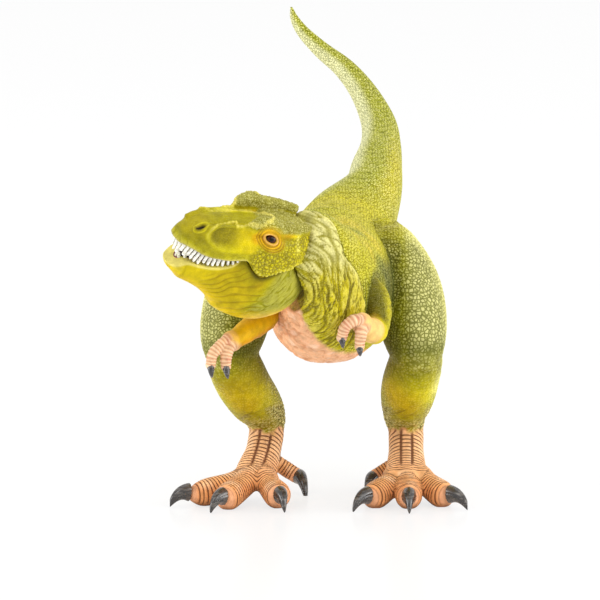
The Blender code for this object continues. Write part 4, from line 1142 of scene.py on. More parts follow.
body_forms = [loft("spine", curve_through(spine_rows()), UP, 64, BODY_POWER)]
leg_paths = {}
for side in SIDES:
    parts = leg_parts(side)
    leg_paths[side] = {"instep": parts[2][1] / MM, "spur": parts[3][1] / MM, "toes": [p[1] / MM for p in parts[4:]]}
    body_forms += [loft(name, rows, hint) for name, rows, hint in parts]
body = remeshed(joined("body", body_forms), BODY_MELT, 9)
combined(body, block("ground", (-0.5, -0.5, -0.2), (0.5, 0.5, 0.0)), "DIFFERENCE")
jaw_room = swept_space(3 * FIT_GAP, 0)
jaw_room.data.transform(PLACE)
room_tree = tree_of(copied(jaw_room))
combined(body, jaw_room, "DIFFERENCE")
remeshed(body, BODY_VOXEL, 2)

P, N, _, _ = surface_of(body)
X, Y, Z = P.T
front = ease(0.1, 0.7, -N[:, 1])
side_on = ease(0.3, 0.8, np.abs(N[:, 0]))
under = ease(-0.1, -0.7, N[:, 2])
upper = ease(0.0, 0.7, N[:, 2])
trunk_path = curve_through(spine_rows()) / MM
soft = noise(P, 9, 1)
softer = noise(P, 22, 2)

# How far each point is inside the thigh or calf, and the seams between legs, trunk and tail.
deep = {}
on_leg = {}
for side in SIDES:
    tree = tree_of(leg_region(side, LEG_SEAM_MARGIN))
    close = (Z < 100) & (Y < 45) & ((X > 0) if side == "left" else (X < 12))
    deep[side] = np.full(len(P), -30.0)
    deep[side][close] = inside(P[close] * MM, tree) / MM
    shin = (X > FEET_PARTING) if side == "left" else (X <= FEET_PARTING)
    on_leg[side] = (deep[side] > 0) | ((Z < 38) & shin)
leg = on_leg["left"] | on_leg["right"]
tail_start = trunk_path[6 * (len(TRUNK_SHARES) - 1), :3]
tail_run = trunk_path[6 * len(TRUNK_SHARES), :3] - trunk_path[6 * (len(TRUNK_SHARES) - 2), :3]
past_seam = (P - tail_start) @ (tail_run / np.linalg.norm(tail_run))
tail = (past_seam > 0) & ~leg
tail_share = ease(-14, 12, past_seam)
# Painted shade in the crease where each thigh meets the trunk, on the front.
valley_shade = sum(ease(3.6, 0.0, np.abs(deep[side])) for side in SIDES)
valley_shade = np.clip(valley_shade, 0, 1) * ease(45, 52, Z) * ease(90, 80, Z + 2 * soft) * ease(-0.2, 0.4, -N[:, 1])
arm_gap = np.full(len(P), 9.0)
for side in SIDES:
    row = curve_through([chest_place(p) for p in ARM_SHARES[side]["arm"]]) / MM
    arm_gap = np.minimum(arm_gap, from_path(P, row)[0] - UPPER_ARM_WIDTH / MM / 2)

# Neck: the folded mass in front of the shoulder ends in a step, and the belly's skin starts below it.
neck_edge = np.interp(Z, (56, 63, 70, 76, 82, 88, 94, 100), (-47, -48.5, -50.3, -52.7, -56.2, -62.0, -63.6, -62.0))
from_edge = neck_edge + 0.8 * noise(P, 6, 3) - Y
neck = ease(-0.4, 0.4, from_edge) * ~leg
belly_front = np.interp(X, (-16, -1.2, 1.5, 5.2, 10.4, 14.1, 22), (74, 71.7, 65.2, 59.9, 56.2, 54.3, 52))
belly_rear = np.interp(Y, (-50, -42, -30, -15, 5), (57.6, 56, 54, 53, 51)) + 12 * ease(3, -6, X) * ease(-15, -35, Y)
belly_top = np.where(Y < -42, belly_front, np.minimum(belly_front, belly_rear)) + 1.2 * soft
belly_top += ease(-8, -2, X) * ease(10, 4, X)
belly = ease(1.6, -1.6, Z - belly_top) * ~leg * ease(0.8, 0.4, N[:, 2]) * ease(22, 8, Y)
fold_zone = neck * (1 - belly)

# Feet: three columns of scutes run down each instep, and each goes on over its own toe.
foot = leg * ease(21.0, 18.6, Z + 1.2 * noise(P, 2.2, 63))
rows = np.zeros((len(P), 3))
toe_end = np.zeros(len(P))
for side in SIDES:
    index = np.nonzero(on_leg[side] & (Z < 26))[0]
    F = P[index]
    nearest = np.full(len(F), 1e9)
    second = np.full(len(F), 1e9)
    phase = np.zeros(len(F))
    tip = np.zeros(len(F))
    instep = leg_paths[side]["instep"]
    lanes = [leg_paths[side]["spur"][:, :3]]
    for k, toe in enumerate(leg_paths[side]["toes"]):
        lane = instep[2:-8, :3] + np.array(((k - 1) * COLUMN_SPREAD, -2.5, 0))
        lanes.append(np.concatenate([lane, toe[6:, :3]]))
    for k, lane in enumerate(lanes):
        far, run, _ = from_path(F, lane)
        length = np.linalg.norm(np.diff(lane, axis=0), axis=1).sum()
        bend = INSTEP_RUN if k else SPUR_RUN
        first = bend / INSTEP_SCUTE
        steps = np.interp(run, (0, bend, length), (0, first, first + (length - bend) / TOE_SCUTE))
        closer = far < nearest
        second = np.where(closer, nearest, np.minimum(second, far))
        phase = np.where(closer, steps + (0.3 if k == 2 else 0.65), phase)
        tip = np.where(closer, ease(length - 2.4, length - 1.0, run), tip)
        nearest = np.where(closer, far, nearest)
    parted = np.maximum(ease(10.8, 12.2, F[:, 2]), ease(6.0, 4.5, F[:, 2]) * ease(0.75, 0.45, N[index, 2]))
    rows[index] = np.column_stack([phase, ease(0.60, 0.10, second - nearest) * parted, 1 - tip])
    toe_end[index] = tip
rows[:, 2] *= foot * ease(0.6, 1.5, Z) * ease(-0.35, 0.30, 0.7 * N[:, 2] - 0.7 * N[:, 1])

# Relief, in millimetres along the normal.
neck_run = np.linalg.norm(P - np.array((-8.0, -74.0, 72.0)), axis=1)
neck_folds = wrinkles(neck_run, P, 0.95, 12.0, 11)
big_folds = wrinkles(neck_run, P, 2.8, 5.0, 15)
up = fold_zone * (0.34 * neck_folds + 0.34 * big_folds - 0.40)
up += fold_zone * 0.75 * ease(5.0, 0.5, from_edge) * ease(45, 60, Z)
step_line = np.exp(-((from_edge + 0.9) / 0.8) ** 2) * ~leg * ease(52, 60, Z)
up -= 0.40 * step_line
belly_lines = 1 - wrinkles(0.8 * Z + 0.5 * X + 0.2 * Y, P, 1.15, 3.2, 23)
up += belly * (0.35 * soft - 0.30 * belly_lines)
pit = near(P, (21.0, -46.5, 72), 8) * ~leg * (1 - neck)
pit_folds = folds(P @ np.array((0.45, 0.9, 0.1)), P, 1.1, 1.1, 31)
up += pit * (0.35 * pit_folds - 0.15)
knee = leg * ease(56, 49, Z) * ease(35, 45, Z + 2 * soft) * ease(-0.3, 0.4, -N[:, 1])
ankle = leg * ease(31, 28, Z) * (1 - foot)
knee_lines = 1 - wrinkles(Z + 0.25 * Y, P, 1.1, 4.0, 37)
ankle_lines = 1 - wrinkles(Z + 0.2 * Y, P, 1.1, 4.0, 41)
grit, _ = pebbles(P, 1.15, 43)
heel = ankle * np.maximum(ease(0.35, -0.2, -N[:, 1]), ease(0.45, 0.85, np.abs(N[:, 0])))
up += 0.30 * np.maximum(heel, 0.6 * ankle * ease(28, 23, Z)) * (grit - 0.4)
up -= 0.18 * knee * knee_lines + 0.20 * ankle * (1 - heel) * ankle_lines
muscle = noise(P * np.array((1.0, 1.0, 0.45)), 11, 43)
up += (leg * ease(24, 34, Z) + ~leg * (1 - tail_share) * (1 - belly) * (1 - neck)) * 0.30 * muscle
line = np.maximum(ease(0.30, 0.46, np.abs(rows[:, 0] % 1 - 0.5)) * 0.55, rows[:, 1]) * rows[:, 2]
up -= 0.30 * line
outer = np.where(X > FEET_PARTING, ease(30, 37, X), ease(-19, -27, X))
big_scale = leg * ease(33, 42, Z) * (0.25 + 0.75 * outer)
tall, _ = pebbles(P, 1.5, 3)
up += big_scale * 0.10 * (tall - 0.5)
up *= ease(0, 1.5, Z)
M = P + N * up[:, None]

# Nothing of the neck stands in the room that the jaw needs.
close = np.nonzero((Y < -48) & (Z > 55) & ~leg)[0]
for i, far in zip(close, inside(M[close] * MM, room_tree)):
    if far > -1e-4:
        place, normal, _, _ = room_tree.find_nearest(M[i] * MM)
        M[i] = np.array(place + normal * 1e-4) / MM
moved_to(body, M * MM)

# Paint, from the ground colour to the small accents, with painted shade in creases and gaps and painted highlights on
# crests among them.
paint = Paint(len(P), (194, 188, 66))
paint.coats(
    (ease(-0.1, 0.7, soft), (166, 166, 46), 0.6),
    (ease(0.1, 0.8, -softer), (214, 202, 60), 0.6),
    (side_on * ~leg * (1 - tail_share), (202, 194, 62), 0.5),
)
for colour, strength, spots in (
    ((222, 204, 48), 0.85, (
        (14.0, -17, 90.8, 10), (15.3, -40.9, 91.9, 8), (22.4, -23.8, 86.2, 8), (21.6, -36.5, 85.0, 6),
        (27.0, -22, 88.0, 7), (24.0, -22, 66.0, 8), (-14.0, -60, 95.0, 8), (-20.0, -25, 88.0, 9),
        (-14.0, -5, 92.0, 9), (17.0, 20, 78.0, 12), (-14.0, 20, 78.0, 12),
    )),
    ((132, 138, 34), 0.75, (
        (18.5, -30, 90.0, 5), (24.5, -33, 80.0, 7), (10.0, -30, 93.0, 6), (28.0, -30, 72.0, 6), (-18.0, -32, 84.0, 8),
    )),
):
    for *place, radius in spots:
        paint.coat(near(P + noise(P, 4, 51)[:, None] * 1.5, place, radius, 0.2), colour, strength)
paint.coats(
    (tail_share, (182, 180, 72), 0.8),
    (tail_share * upper, (158, 162, 62), 0.7),
    (tail_share * under, (226, 214, 140), 0.8),
    # Pale paint on the tail's left side, which also paints its highlight; further down, a painted shade where it turns
    # fully to the right.
    (tail_share * ease(0.1, 0.7, -N[:, 0]), (232, 232, 196), 0.85),
    (tail_share * ease(0.1, 0.7, N[:, 0]) * ease(120, 60, Y), (212, 198, 44), 0.7),
    (tail_share * ease(0.85, 1.0, N[:, 0]), (176, 176, 52), 0.5),
)

thigh = leg * ease(28, 40, Z)
paint.coats(
    (thigh, (212, 204, 62), 0.85),
    (thigh * (1 - outer) * ease(-0.4, 0.4, soft + 0.2), (150, 142, 14), 0.8),
    # Pale paint on the thighs' outer sides, which also paints their highlight.
    (thigh * outer, (255, 250, 176), 0.95),
    (leg * ease(26, 31, Z) * ease(50, 38, Z) * front, (186, 172, 28), 0.8),
)
for place, radius in (((30.9, -10, 34), 10), ((32.9, -7.7, 29.3), 8), ((-21.3, -15, 38), 11), ((-17.0, -12, 31), 8)):
    paint.coat(near(P, place, radius, 0.2) * leg, (186, 163, 8), 0.95)
paint.coats(
    (knee, (102, 100, 6), 0.75),
    # Darker in the knee's and the ankle's wrinkles: painted shade in the creases.
    (knee * knee_lines, (98, 94, 8), 0.5),
    (ankle, (166, 150, 40), 0.6),
    (ankle * ankle_lines, (96, 80, 16), 0.6),
)
collar = np.maximum(heel, 0.8 * ankle * ease(28, 23, Z + 2 * soft))
paint.coat(collar, (124, 112, 40), 0.85)
# Pale tops on the ankle's pebbles: dry-brush that also paints their highlights.
paint.coat(collar * ease(0.25, 0.6, grit), (222, 210, 150), 0.9)

low_neck = ease(90, 76, Z + 3 * soft)
# Neck: painted shade in the fold creases and in the groove under the step, and painted highlights on the fold crests
# and along the step's raised edge.
neck_line = np.maximum(ease(0.85, 0.15, neck_folds), 0.7 * ease(0.6, 0.1, big_folds))
paint.coats(
    (fold_zone, (182, 176, 120), 0.95),
    (fold_zone * ease(0.1, 0.8, noise(P, 5, 13)), (184, 178, 82), 0.7),
    (fold_zone * low_neck, (188, 174, 46), 0.9),
    (fold_zone * low_neck * ease(0.0, 0.8, noise(P, 4, 14)), (206, 194, 92), 0.6),
    (fold_zone * (1 - neck_line) * ease(0.5, 0.9, big_folds) * (1 - 0.6 * low_neck), (220, 214, 160), 0.6),
    (fold_zone * neck_line, (126, 120, 48), 0.85),
    (fold_zone * low_neck * neck_line, (100, 90, 8), 0.85),
    (fold_zone * near(P, (4.5, -63.5, 86), 6, 0.2), (140, 140, 40), 0.5),
    (fold_zone * ease(2.6, 0.6, from_edge) * ease(66, 76, Z) * (1 - neck_line), (226, 218, 148), 0.6),
    (step_line * (1 - belly), (92, 92, 22), 0.8),
    (pit, (160, 158, 56), 0.7),
    # Painted shade in the armpit's fold creases and painted highlights on their crests.
    (pit * ease(0.45, 0.1, pit_folds), (84, 88, 20), 0.8),
    (pit * ease(0.6, 0.9, pit_folds), (196, 190, 92), 0.6),
    # Painted shade in the thigh creases.
    (valley_shade, (60, 68, 8), 0.95),
)
flank_shade = ~leg * (1 - neck) * ease(23, 27, X + 0.12 * (Z - 70) + soft)
flank_shade *= ease(54, 62, Z) * ease(84, 76, Z) * ease(-5, -15, Y)
paint.coats(
    (flank_shade, (70, 76, 14), 0.9),
    # Painted shade round the upper arms, where they meet the chest.
    (ease(2.0, 0.3, arm_gap), (84, 86, 16), 0.75),
    (belly, (228, 182, 152), 0.97),
    (belly * ease(0.0, 0.8, soft), (222, 164, 130), 0.5),
    # Painted shade in the belly's wrinkles.
    (belly * ease(0.2, 1.0, belly_lines), (194, 134, 100), 0.6),
    (belly * ease(0.3, 0.9, noise(P, 2.2, 77)), (242, 212, 190), 0.5),
)

paint.coats(
    (foot, (226, 172, 130), 0.97),
    (foot * ease(0.0, 0.7, noise(P, 3.2, 61)), (246, 212, 178), 0.6),
    (foot * ease(0.1, 0.9, noise(P, 5.5, 62)), (214, 152, 112), 0.6),
    (foot * ease(7, 13, Z), (242, 200, 162), 0.7),
    (foot * ease(9, 5, Z), (208, 144, 104), 0.6),
    (foot * (1 - rows[:, 2]) * (1 - toe_end), (196, 140, 108), 0.6),
    # Dark in the grooves between the scute columns, which also paints the shade in the creases between the toes.
    (foot * rows[:, 1] * rows[:, 2], (116, 66, 44), 0.6),
    (toe_end, (226, 176, 146), 0.7),
    # Painted shade low on the feet, where they meet the ground.
    (foot * ease(2.2, 0.6, Z), (128, 88, 64), 0.6),
)

scale_depth = 0.9 * (1 - 0.75 * fold_zone) * (1 - 0.92 * belly) * (1 - 0.6 * np.clip(knee + ankle, 0, 1))
scale_depth *= 1 - 0.95 * np.clip(foot * rows[:, 2] + toe_end, 0, 1)
scale_depth *= 1 - 0.75 * leg * ease(46, 40, Z) * front
scale_depth = np.maximum(scale_depth * (1 - 0.25 * big_scale), 0.9 * heel)
scale_size = np.clip(big_scale * 1.3 + 0.2 * tail_share + 0.6 * heel, 0, 1)
# How much pale dry-brush, which also paints highlights, the pebble tops take: more on big scales, the tail and the
# heels, less in the painted shade of the thigh creases.
frost = 0.30 + 0.6 * big_scale + 0.35 * tail_share + 0.1 * soft + heel - 0.3 * valley_shade
frost = np.clip(frost * (1 - belly) * (1 - 0.7 * foot), 0, 1)
paint.rich(0.22)
give(body, paint=paint.light, rows=rows, scale_depth=scale_depth, scale_size=scale_size, frost=frost)


def split_skin(source, labels):
    """One closed piece for each label, cut along the faces whose corners lean to it."""
    mesh = source.data
    corners = np.empty(len(mesh.polygons) * 4, int)
    mesh.polygons.foreach_get("vertices", corners)
    corners = corners.reshape(-1, 4)
    face_label = np.array([np.bincount(row).argmax() for row in labels[corners]])
    points = points_of(source)
    values = {}
    for name, (key, width) in {
        "paint": ("color", 4), "rows": ("vector", 3), "scale_depth": ("value", 1), "scale_size": ("value", 1),
        "frost": ("value", 1),
    }.items():
        found = np.empty(len(points) * width, np.float32)
        mesh.attributes[name].data.foreach_get(key, found)
        values[name] = found.reshape(-1, width)[:, :3] if width > 1 else found
    made = []
    for label in range(labels.max() + 1):
        used, inverse = np.unique(corners[face_label == label], return_inverse=True)
        faces = inverse.reshape(-1, 4)
        there = {(a, b) for k in range(4) for a, b in faces[:, [k, (k + 1) % 4]].tolist()}
        after = {}
        for a, b in there:
            if (b, a) not in there:
                after.setdefault(b, []).append(a)
        places = [points[used]]
        caps = []
        total = len(used)
        pick = [used]
        while after:
            start = next(iter(after))
            loop = []
            here = start
            while not loop or here != start:
                loop.append(here)
                onward = after[here].pop()
                if not after[here]:
                    del after[here]
                here = onward
            places.append(points[used][loop].mean(axis=0)[None])
            pick.append(used[loop[:1]])
            caps += [(loop[k], loop[(k + 1) % len(loop)], total) for k in range(len(loop))]
            total += 1
        piece_mesh = bpy.data.meshes.new("skin")
        piece_mesh.from_pydata(np.concatenate(places).tolist(), [], faces.tolist() + caps)
        piece = placed("skin", piece_mesh)
        pick = np.concatenate(pick)
        give(piece, **{name: found[pick] for name, found in values.items()})
        made.append(piece)
    bpy.data.objects.remove(source)
    return made


labels = np.zeros(len(P), int)
labels[tail] = 1
labels[on_leg["left"]] = 2
labels[on_leg["right"]] = 3
body_material = skin_material("moulded_scale_skin", 0.92, 1.15, (134, 134, 62), (238, 231, 156), 0.00020)
for piece, name in zip(split_skin(body, labels), ("torso", "tail", "left_leg", "right_leg")):
    piece.name = name + "_skin"
    settled(piece, "figure", body_material, (name,))


# --- Head and lower jaw, made in the head's frame ----------------------------------------------------------


def on_skin(tree, place):
    """A place, in millimetres, moved along the sight line from the front until it lies on the skin."""
    place = Vector(place) * MM
    ahead = (place - SIGHT).normalized()
    hit = tree.ray_cast(place - ahead * 0.02, ahead)[0]
    if hit is None or (hit - place).length > 0.003:
        hit = tree.find_nearest(place)[0]
    return np.array(hit) / MM


def in_recess(points, table, inset, start_share):
    """How far each point is inside the plan of a mouth recess, in millimetres, or less than 0 outside it."""
    line = mouth_curve(table, inset, start_share) / MM
    side = line[:len(line) // 2]
    half = np.interp(points[:, 0], side[:, 0], side[:, 1])
    return np.minimum(half - np.abs(points[:, 1]), np.minimum(points[:, 0] - side[0, 0], side[-1, 0] - points[:, 0]))


skull = [head_tube("skull", SKULL_SHARES, HEAD_HEIGHT, HEAD_HEIGHT)]
for side in (1, -1):
    skull.append(ridge("brow", BROW_SHARES, side, 0, RIDGE_ROOT_SHARE))
    skull.append(ridge("snout_ridge", SNOUT_RIDGE_SHARES, side, 0, RIDGE_ROOT_SHARE))
    skull.append(ridge("cheek", CHEEK_SHARES, side))
    skull.append(ball("lids", Vector((14.4, side * 6.9, 8.3)) * MM, 2.8 * MM))
head = remeshed(joined("head", skull), HEAD_MELT, 6)
combined(head, mouth_side("upper", True, MOUTH_GAP / 2), "INTERSECT")
combined(head, swept_space(1.6 * FIT_GAP, 1), "DIFFERENCE")
combined(head, mouth_recess(
    "palate", SKULL_SHARES, PALATE_INSET, TEETH_START_SHARE,
    lambda x: lip_height(x) - CUT_OVERRUN, lambda x: lip_height(x) + PALATE_HEIGHT,
), "DIFFERENCE")
remeshed(head, HEAD_FINE_VOXEL, 3)

P, N, Q, NQ = surface_of(head)
X, Y, Z = P.T
lip = lip_height(X * MM) / MM
edge = Z - lip
mouth_inside = ease(-0.45, -0.15, in_recess(P, SKULL_SHARES, PALATE_INSET, TEETH_START_SHARE))
mouth_inside *= ease(PALATE_HEIGHT / MM + 0.6, PALATE_HEIGHT / MM + 0.3, edge)
outside = 1 - mouth_inside
head_tree = tree_of(copied(head))
EYE = on_skin(head_tree, (15.4, 9.4, 9.9))
SLOT = [on_skin(head_tree, place) for place in ((38.0, 3.7, 8.7), (36.1, 4.4, 10.5))]
FAR_SLOT = [
    np.array(head_tree.find_nearest(Vector(place) * MM)[0]) / MM for place in ((38.0, 5.4, 6.6), (36.3, 5.9, 8.2))
]
SNOUT_LINE = [on_skin(head_tree, place) for place in curve_through((
    (33.6, 4.9, 9.6), (32.2, 5.4, 11.6), (29.9, 5.2, 12.2), (26.6, 5.1, 12.6), (23.4, 5.9, 13.1),
    (20.9, 7.7, 13.4), (18.9, 8.1, 13.8), (16.5, 6.5, 14.5), (13.5, 3.0, 12.8), (11.0, 0.0, 12.0),
), 4)]
inward = np.zeros(len(P))

# Hollow in front of the eye, steep at its front and fading to the rear.
hollow_far = np.hypot((X - 27.0) / np.where(X > 27.0, 6.9, 7.8), (Z - 7.7) / np.where(Z > 7.7, 4.3, 4.2))
cheek_side = ease(0.2, 0.6, NQ[:, 1]) * outside
hollow = ease(1.0, 0.74, hollow_far) * cheek_side
inward += 0.95 * hollow * (0.40 + 0.60 * ease(22, 30, X))
rim = np.exp(-((hollow_far - 1.09) / 0.12) ** 2) * cheek_side * ease(36.5, 34.5, X)
up = 0.26 * rim * ease(20, 26, X)

# Nostril: a slanting slot with a raised rim.
slot_far = np.full(len(P), 9.0)
for ends, half_side in ((SLOT, Y > 0), (FAR_SLOT, Y <= 0)):
    slot_run = ends[1] - ends[0]
    slot_length = np.linalg.norm(slot_run)
    slot_at = Q - (ends[0] + ends[1]) / 2
    slot_along = slot_at @ slot_run / slot_length
    slot_across = np.sqrt(np.maximum((slot_at**2).sum(axis=1) - slot_along**2, 0))
    slot_far = np.where(half_side, np.hypot(slot_along / (slot_length * 0.62), slot_across / 1.05), slot_far)
slot = ease(1.15, 0.75, slot_far)
slot_rim = np.exp(-((slot_far - 1.45) / 0.22) ** 2)
inward += 0.7 * slot
up += 0.16 * slot_rim

# Beads along the ridge that runs round the top of the snout and over the skull behind it.
sight = np.array((Vector(EYE) * MM - SIGHT).normalized())
flat = np.eye(3) - np.outer(sight, sight)
line_far, line_run, line_at = from_path(Q @ flat, np.array(SNOUT_LINE) @ flat)
bead_size = np.interp(line_at / 4, (0, 3, 4, 5, 6, 9), (0.50, 0.55, 0.75, 1.15, 0.95, 0.65))
bead = ease(bead_size, bead_size * 0.25, line_far) * (0.5 + 0.5 * np.abs(np.sin(line_run / 1.2 * math.pi)))
bead *= ease(0.0, 0.2, -NQ @ sight) * outside
up += 0.34 * bead

# Eye: a lidded almond with wrinkles in rings round it.
eye_normal = NQ[np.argsort(np.linalg.norm(Q - EYE, axis=1))[:300]].mean(axis=0)
eye_normal /= np.linalg.norm(eye_normal)
offset = Q - EYE
lifted = offset @ eye_normal
off_along = offset - np.outer(lifted, eye_normal)
eye_x = off_along @ np.array((0.97, 0.0, 0.22))
eye_z = off_along @ np.array((-0.22, 0.0, 0.97))
eye_far = np.hypot(eye_x / 1.15, eye_z / 0.92)
slit_far = np.hypot(eye_x / 1.08, eye_z / 0.66)
by_eye = np.abs(lifted) < 3.5
socket = ease(1.65, 1.30, slit_far) * by_eye
inward += 0.80 * socket
lid = np.exp(-((slit_far - 1.95) / 0.30) ** 2) * by_eye
up += 0.34 * lid
for radius, height, wide in ((2.65, 0.24, 0.26), (3.35, 0.24, 0.26), (4.05, 0.18, 0.26)):
    ring = np.exp(-((eye_far - radius) / wide) ** 2) * by_eye
    up += height * ring * ease(2.4, -0.6, eye_z)
ring_groove = sum(np.exp(-((eye_far - radius) / 0.16) ** 2) for radius in (2.27, 3.00, 3.70)) * by_eye
ring_groove = np.clip(ring_groove * ease(2.7, -0.5, eye_z), 0, 1)

# Pebbles on the cheek, behind the eye and on the crown, and fine ones elsewhere.
cheek = ease(20.5, 17.0, X + 0.35 * (Z - 4)) * ease(9.5, 5.5, Z) * ease(3.8, 4.8, eye_far)
cheek = np.maximum(cheek, ease(9.5, 7.0, X) * ease(11.0, 9.0, Z)) * outside
crown = ease(0.35, 0.8, N[:, 2]) * ease(18.5, 15, X) + ease(10.5, 12.5, Z) * ease(17, 13, X)
crown = crown + ease(11.6, 12.8, Z) * ease(25, 22.5, X)
crown = np.clip(crown, 0, 1) * outside * (1 - cheek) * ease(2.6, 3.4, eye_far)
big, _ = pebbles(P, 1.10, 5)
small, which = pebbles(P, 0.75, 6)
up += 0.24 * cheek * (big - 0.45) + 0.18 * crown * (small - 0.45)
edge_row = np.exp(-((edge - 0.8) / 0.6) ** 2) * ease(18.5, 17, X) * ease(0, 3, X + 3) * outside
row_bead = np.abs(np.sin(X * 2.6))
up += 0.30 * edge_row * row_bead
rear_row = np.exp(-((X - 4.4 - 0.22 * (Z - 4)) / 1.0) ** 2) * ease(3.5, 6, Z) * outside
up += 0.30 * rear_row * (0.4 + 0.6 * big)

# Lip: fine upright wrinkles above the teeth, and a field with short cross wrinkles on the snout's top.
lip_zone = ease(3.0, 1.0, edge) * ease(18, 22, X) * outside * ease(-0.6, 0.1, N[:, 2])
lip_lines = creases(P, (1.0, 0.0, 0.15), 0.9, 3, 71)
lip_edge = np.exp(-((edge - 0.35) / 0.35) ** 2) * ease(18, 22, X) * outside
top_field = ease(0.35, 0.7, N[:, 2]) * ease(15, 18, X) * ease(35, 31, X) * (1 - bead) * outside
field_lines = creases(P, (0.2, 1.0, 0.0), 1.1, 3, 73)
up += 0.14 * lip_edge - 0.16 * lip_zone * lip_lines - 0.12 * top_field * field_lines
up += 0.14 * noise(P, 3.2, 75) * (1 - slot)
M = P + N * ((up - inward) * outside)[:, None]
M[:, 0] = np.minimum(M[:, 0], 43.2)
moved_to(head, M * MM)

soft = noise(P, 6, 81)
paint = Paint(len(P), (160, 150, 24))
paint.coat(ease(0.0, 0.7, soft), (146, 136, 16), 0.5)
snout = ease(30, 36, X) * outside
paint.coats(
    (snout * ease(6.5, 8.5, Z + 0.5 * soft), (160, 148, 32), 0.8),
    (snout * ease(8.5, 5.0, Z), (136, 128, 14), 0.75),
    (ease(38.5, 41.5, X), (122, 118, 24), 0.55),
    (ease(0.35, 0.8, N[:, 2]) * ease(28, 34, X), (178, 164, 48), 0.55),
    (top_field, (156, 148, 48), 0.85),
    (top_field * ease(-1.5, -4.5, Y), (206, 198, 112), 0.7),
    # Painted shade in the field's short wrinkles.
    (top_field * field_lines, (146, 140, 56), 0.45),
)
bright = ease(28, 23, X) * ease(16.5, 19, X) * cheek_side * ease(3.0, 4.6, Z) * ease(12.2, 10.4, Z)
paint.coats(
    (bright, (212, 194, 34), 0.9),
    (hollow * ease(21, 27.5, X + 0.6 * soft), (158, 146, 30), 0.9),
    # Painted shade in the hollow's steep front and in the gaps between its pebbles.
    (hollow * ease(27.5, 32.5, X), (116, 108, 20), 0.75),
    (hollow * ease(0.4, 0.1, small) * ease(24, 28, X), (98, 92, 16), 0.5),
    (rim * ease(24, 29, X) * (0.75 + 0.25 * noise(P, 0.9, 83)), (222, 212, 122), 0.85),
    (ease(6.5, 3.0, Z) * ease(20, 24, X) * ease(2.0, 3.6, edge), (196, 186, 60), 0.75),
)
for place, radius, colour, strength in (
    ((18.8, 8.2, 9.0), 3.0, (224, 166, 30), 0.85), ((16.5, 8.6, 12.0), 2.2, (226, 176, 40), 0.7),
    ((9.5, 8.0, 11.0), 3.2, (224, 172, 34), 0.6), ((9.8, 8.0, 8.6), 3.2, (132, 122, 18), 0.75),
    ((6.8, 7.6, 10.6), 2.6, (232, 210, 56), 0.7),
):
    facing = ease(0.1, 0.4, NQ[:, 1]) * ease(0.75, 0.45, N[:, 2])
    paint.coat(near(Q, place, radius, 0.2) * facing, colour, strength)
paint.coats(
    (cheek, (158, 148, 22), 0.85),
    # Cheek pebbles: painted highlight on their tops and painted shade in the gaps.
    (cheek * ease(0.35, 0.85, big), (206, 194, 64), 0.85),
    (cheek * ease(0.30, 0.0, big), (128, 118, 12), 0.6),
    (edge_row * row_bead, (234, 224, 132), 0.8),
    (rear_row * (0.3 + 0.7 * big), (236, 226, 138), 0.95),
    (crown, (156, 152, 88), 0.85),
    # Crown pebbles: painted highlight on some of their tops and painted shade in the gaps.
    (crown * ease(0.4, 0.9, small) * ease(0.35, 0.7, which), (208, 202, 134), 0.75),
    (crown * ease(0.3, 0.0, small), (124, 118, 42), 0.6),
    (bead, (228, 216, 130), 0.85),
    (lip_zone, (206, 198, 112), 0.75),
    # Painted shade in the lip's wrinkles.
    (lip_zone * lip_lines, (128, 120, 30), 0.7),
    (lip_edge, (216, 208, 150), 0.7),
    (ease(25, 32, X) * outside * (1 - slot), (118, 112, 12), 0.34),
)
beside = by_eye * ease(0.0, 0.3, NQ[:, 1])
paint.coats(
    (ease(4.6, 3.4, eye_far) * beside, (196, 170, 44), 0.6),
    (ease(3.6, 2.2, eye_far) * beside, (188, 146, 56), 0.7),
    (lid, (232, 186, 128), 0.9),
    (np.exp(-((eye_far - 2.65) / 0.28) ** 2) * by_eye, (226, 186, 74), 0.7),
    # Painted shade in the grooves between the rings round the eye.
    (ring_groove, (130, 92, 16), 0.8),
    (socket, (40, 20, 8), 0.97),
    (slot_rim, (216, 206, 110), 0.5),
    # Painted shade: the nostril's shallow slot painted near black, like a deep hole.
    (slot, (22, 14, 4), 1.0),
    # Painted shade: the palate painted dark, as the deep shadow inside the mouth.
    (mouth_inside, (60, 26, 22), 0.95),
    # Painted shade under the upper lip's edge and in the seam behind the mouth's corner.
    (ease(0.5, -0.3, edge) * ease(0.0, -0.5, N[:, 2]) * ease(18, 22, X) * outside, (110, 92, 44), 0.7),
    (ease(0.5, -0.3, edge) * ease(20, 17, X), (64, 56, 14), 0.8),
)
paint.rich(0.22)
plain = np.zeros(len(P))
give(
    head, paint=paint.light, rows=np.zeros_like(P), scale_size=plain, frost=(0.2 + 0.2 * crown) * outside,
    scale_depth=(0.22 + 0.35 * crown + 0.3 * cheek) * outside * (1 - slot) * (1 - socket),
)

jaw = remeshed(joined("jaw", [head_tube("jaw", JAW_SHARES, HEAD_HEIGHT, JAW_DEPTH)]), HEAD_MELT, 5)
combined(jaw, mouth_side("lower", False, -MOUTH_GAP / 2), "INTERSECT")
combined(jaw, mouth_recess(
    "floor", JAW_SHARES, FLOOR_INSET, FLOOR_START_SHARE, floor_height, lambda x: rim_height(x) + CUT_OVERRUN,
), "DIFFERENCE")
half = Vector((0, HINGE_LUG_WIDTH / 2 + FIT_GAP, 0))
combined(jaw, rod("slot", HINGE - half, HINGE + half, HINGE_LUG_RADIUS + FIT_GAP), "DIFFERENCE")
remeshed(jaw, HEAD_FINE_VOXEL, 3)

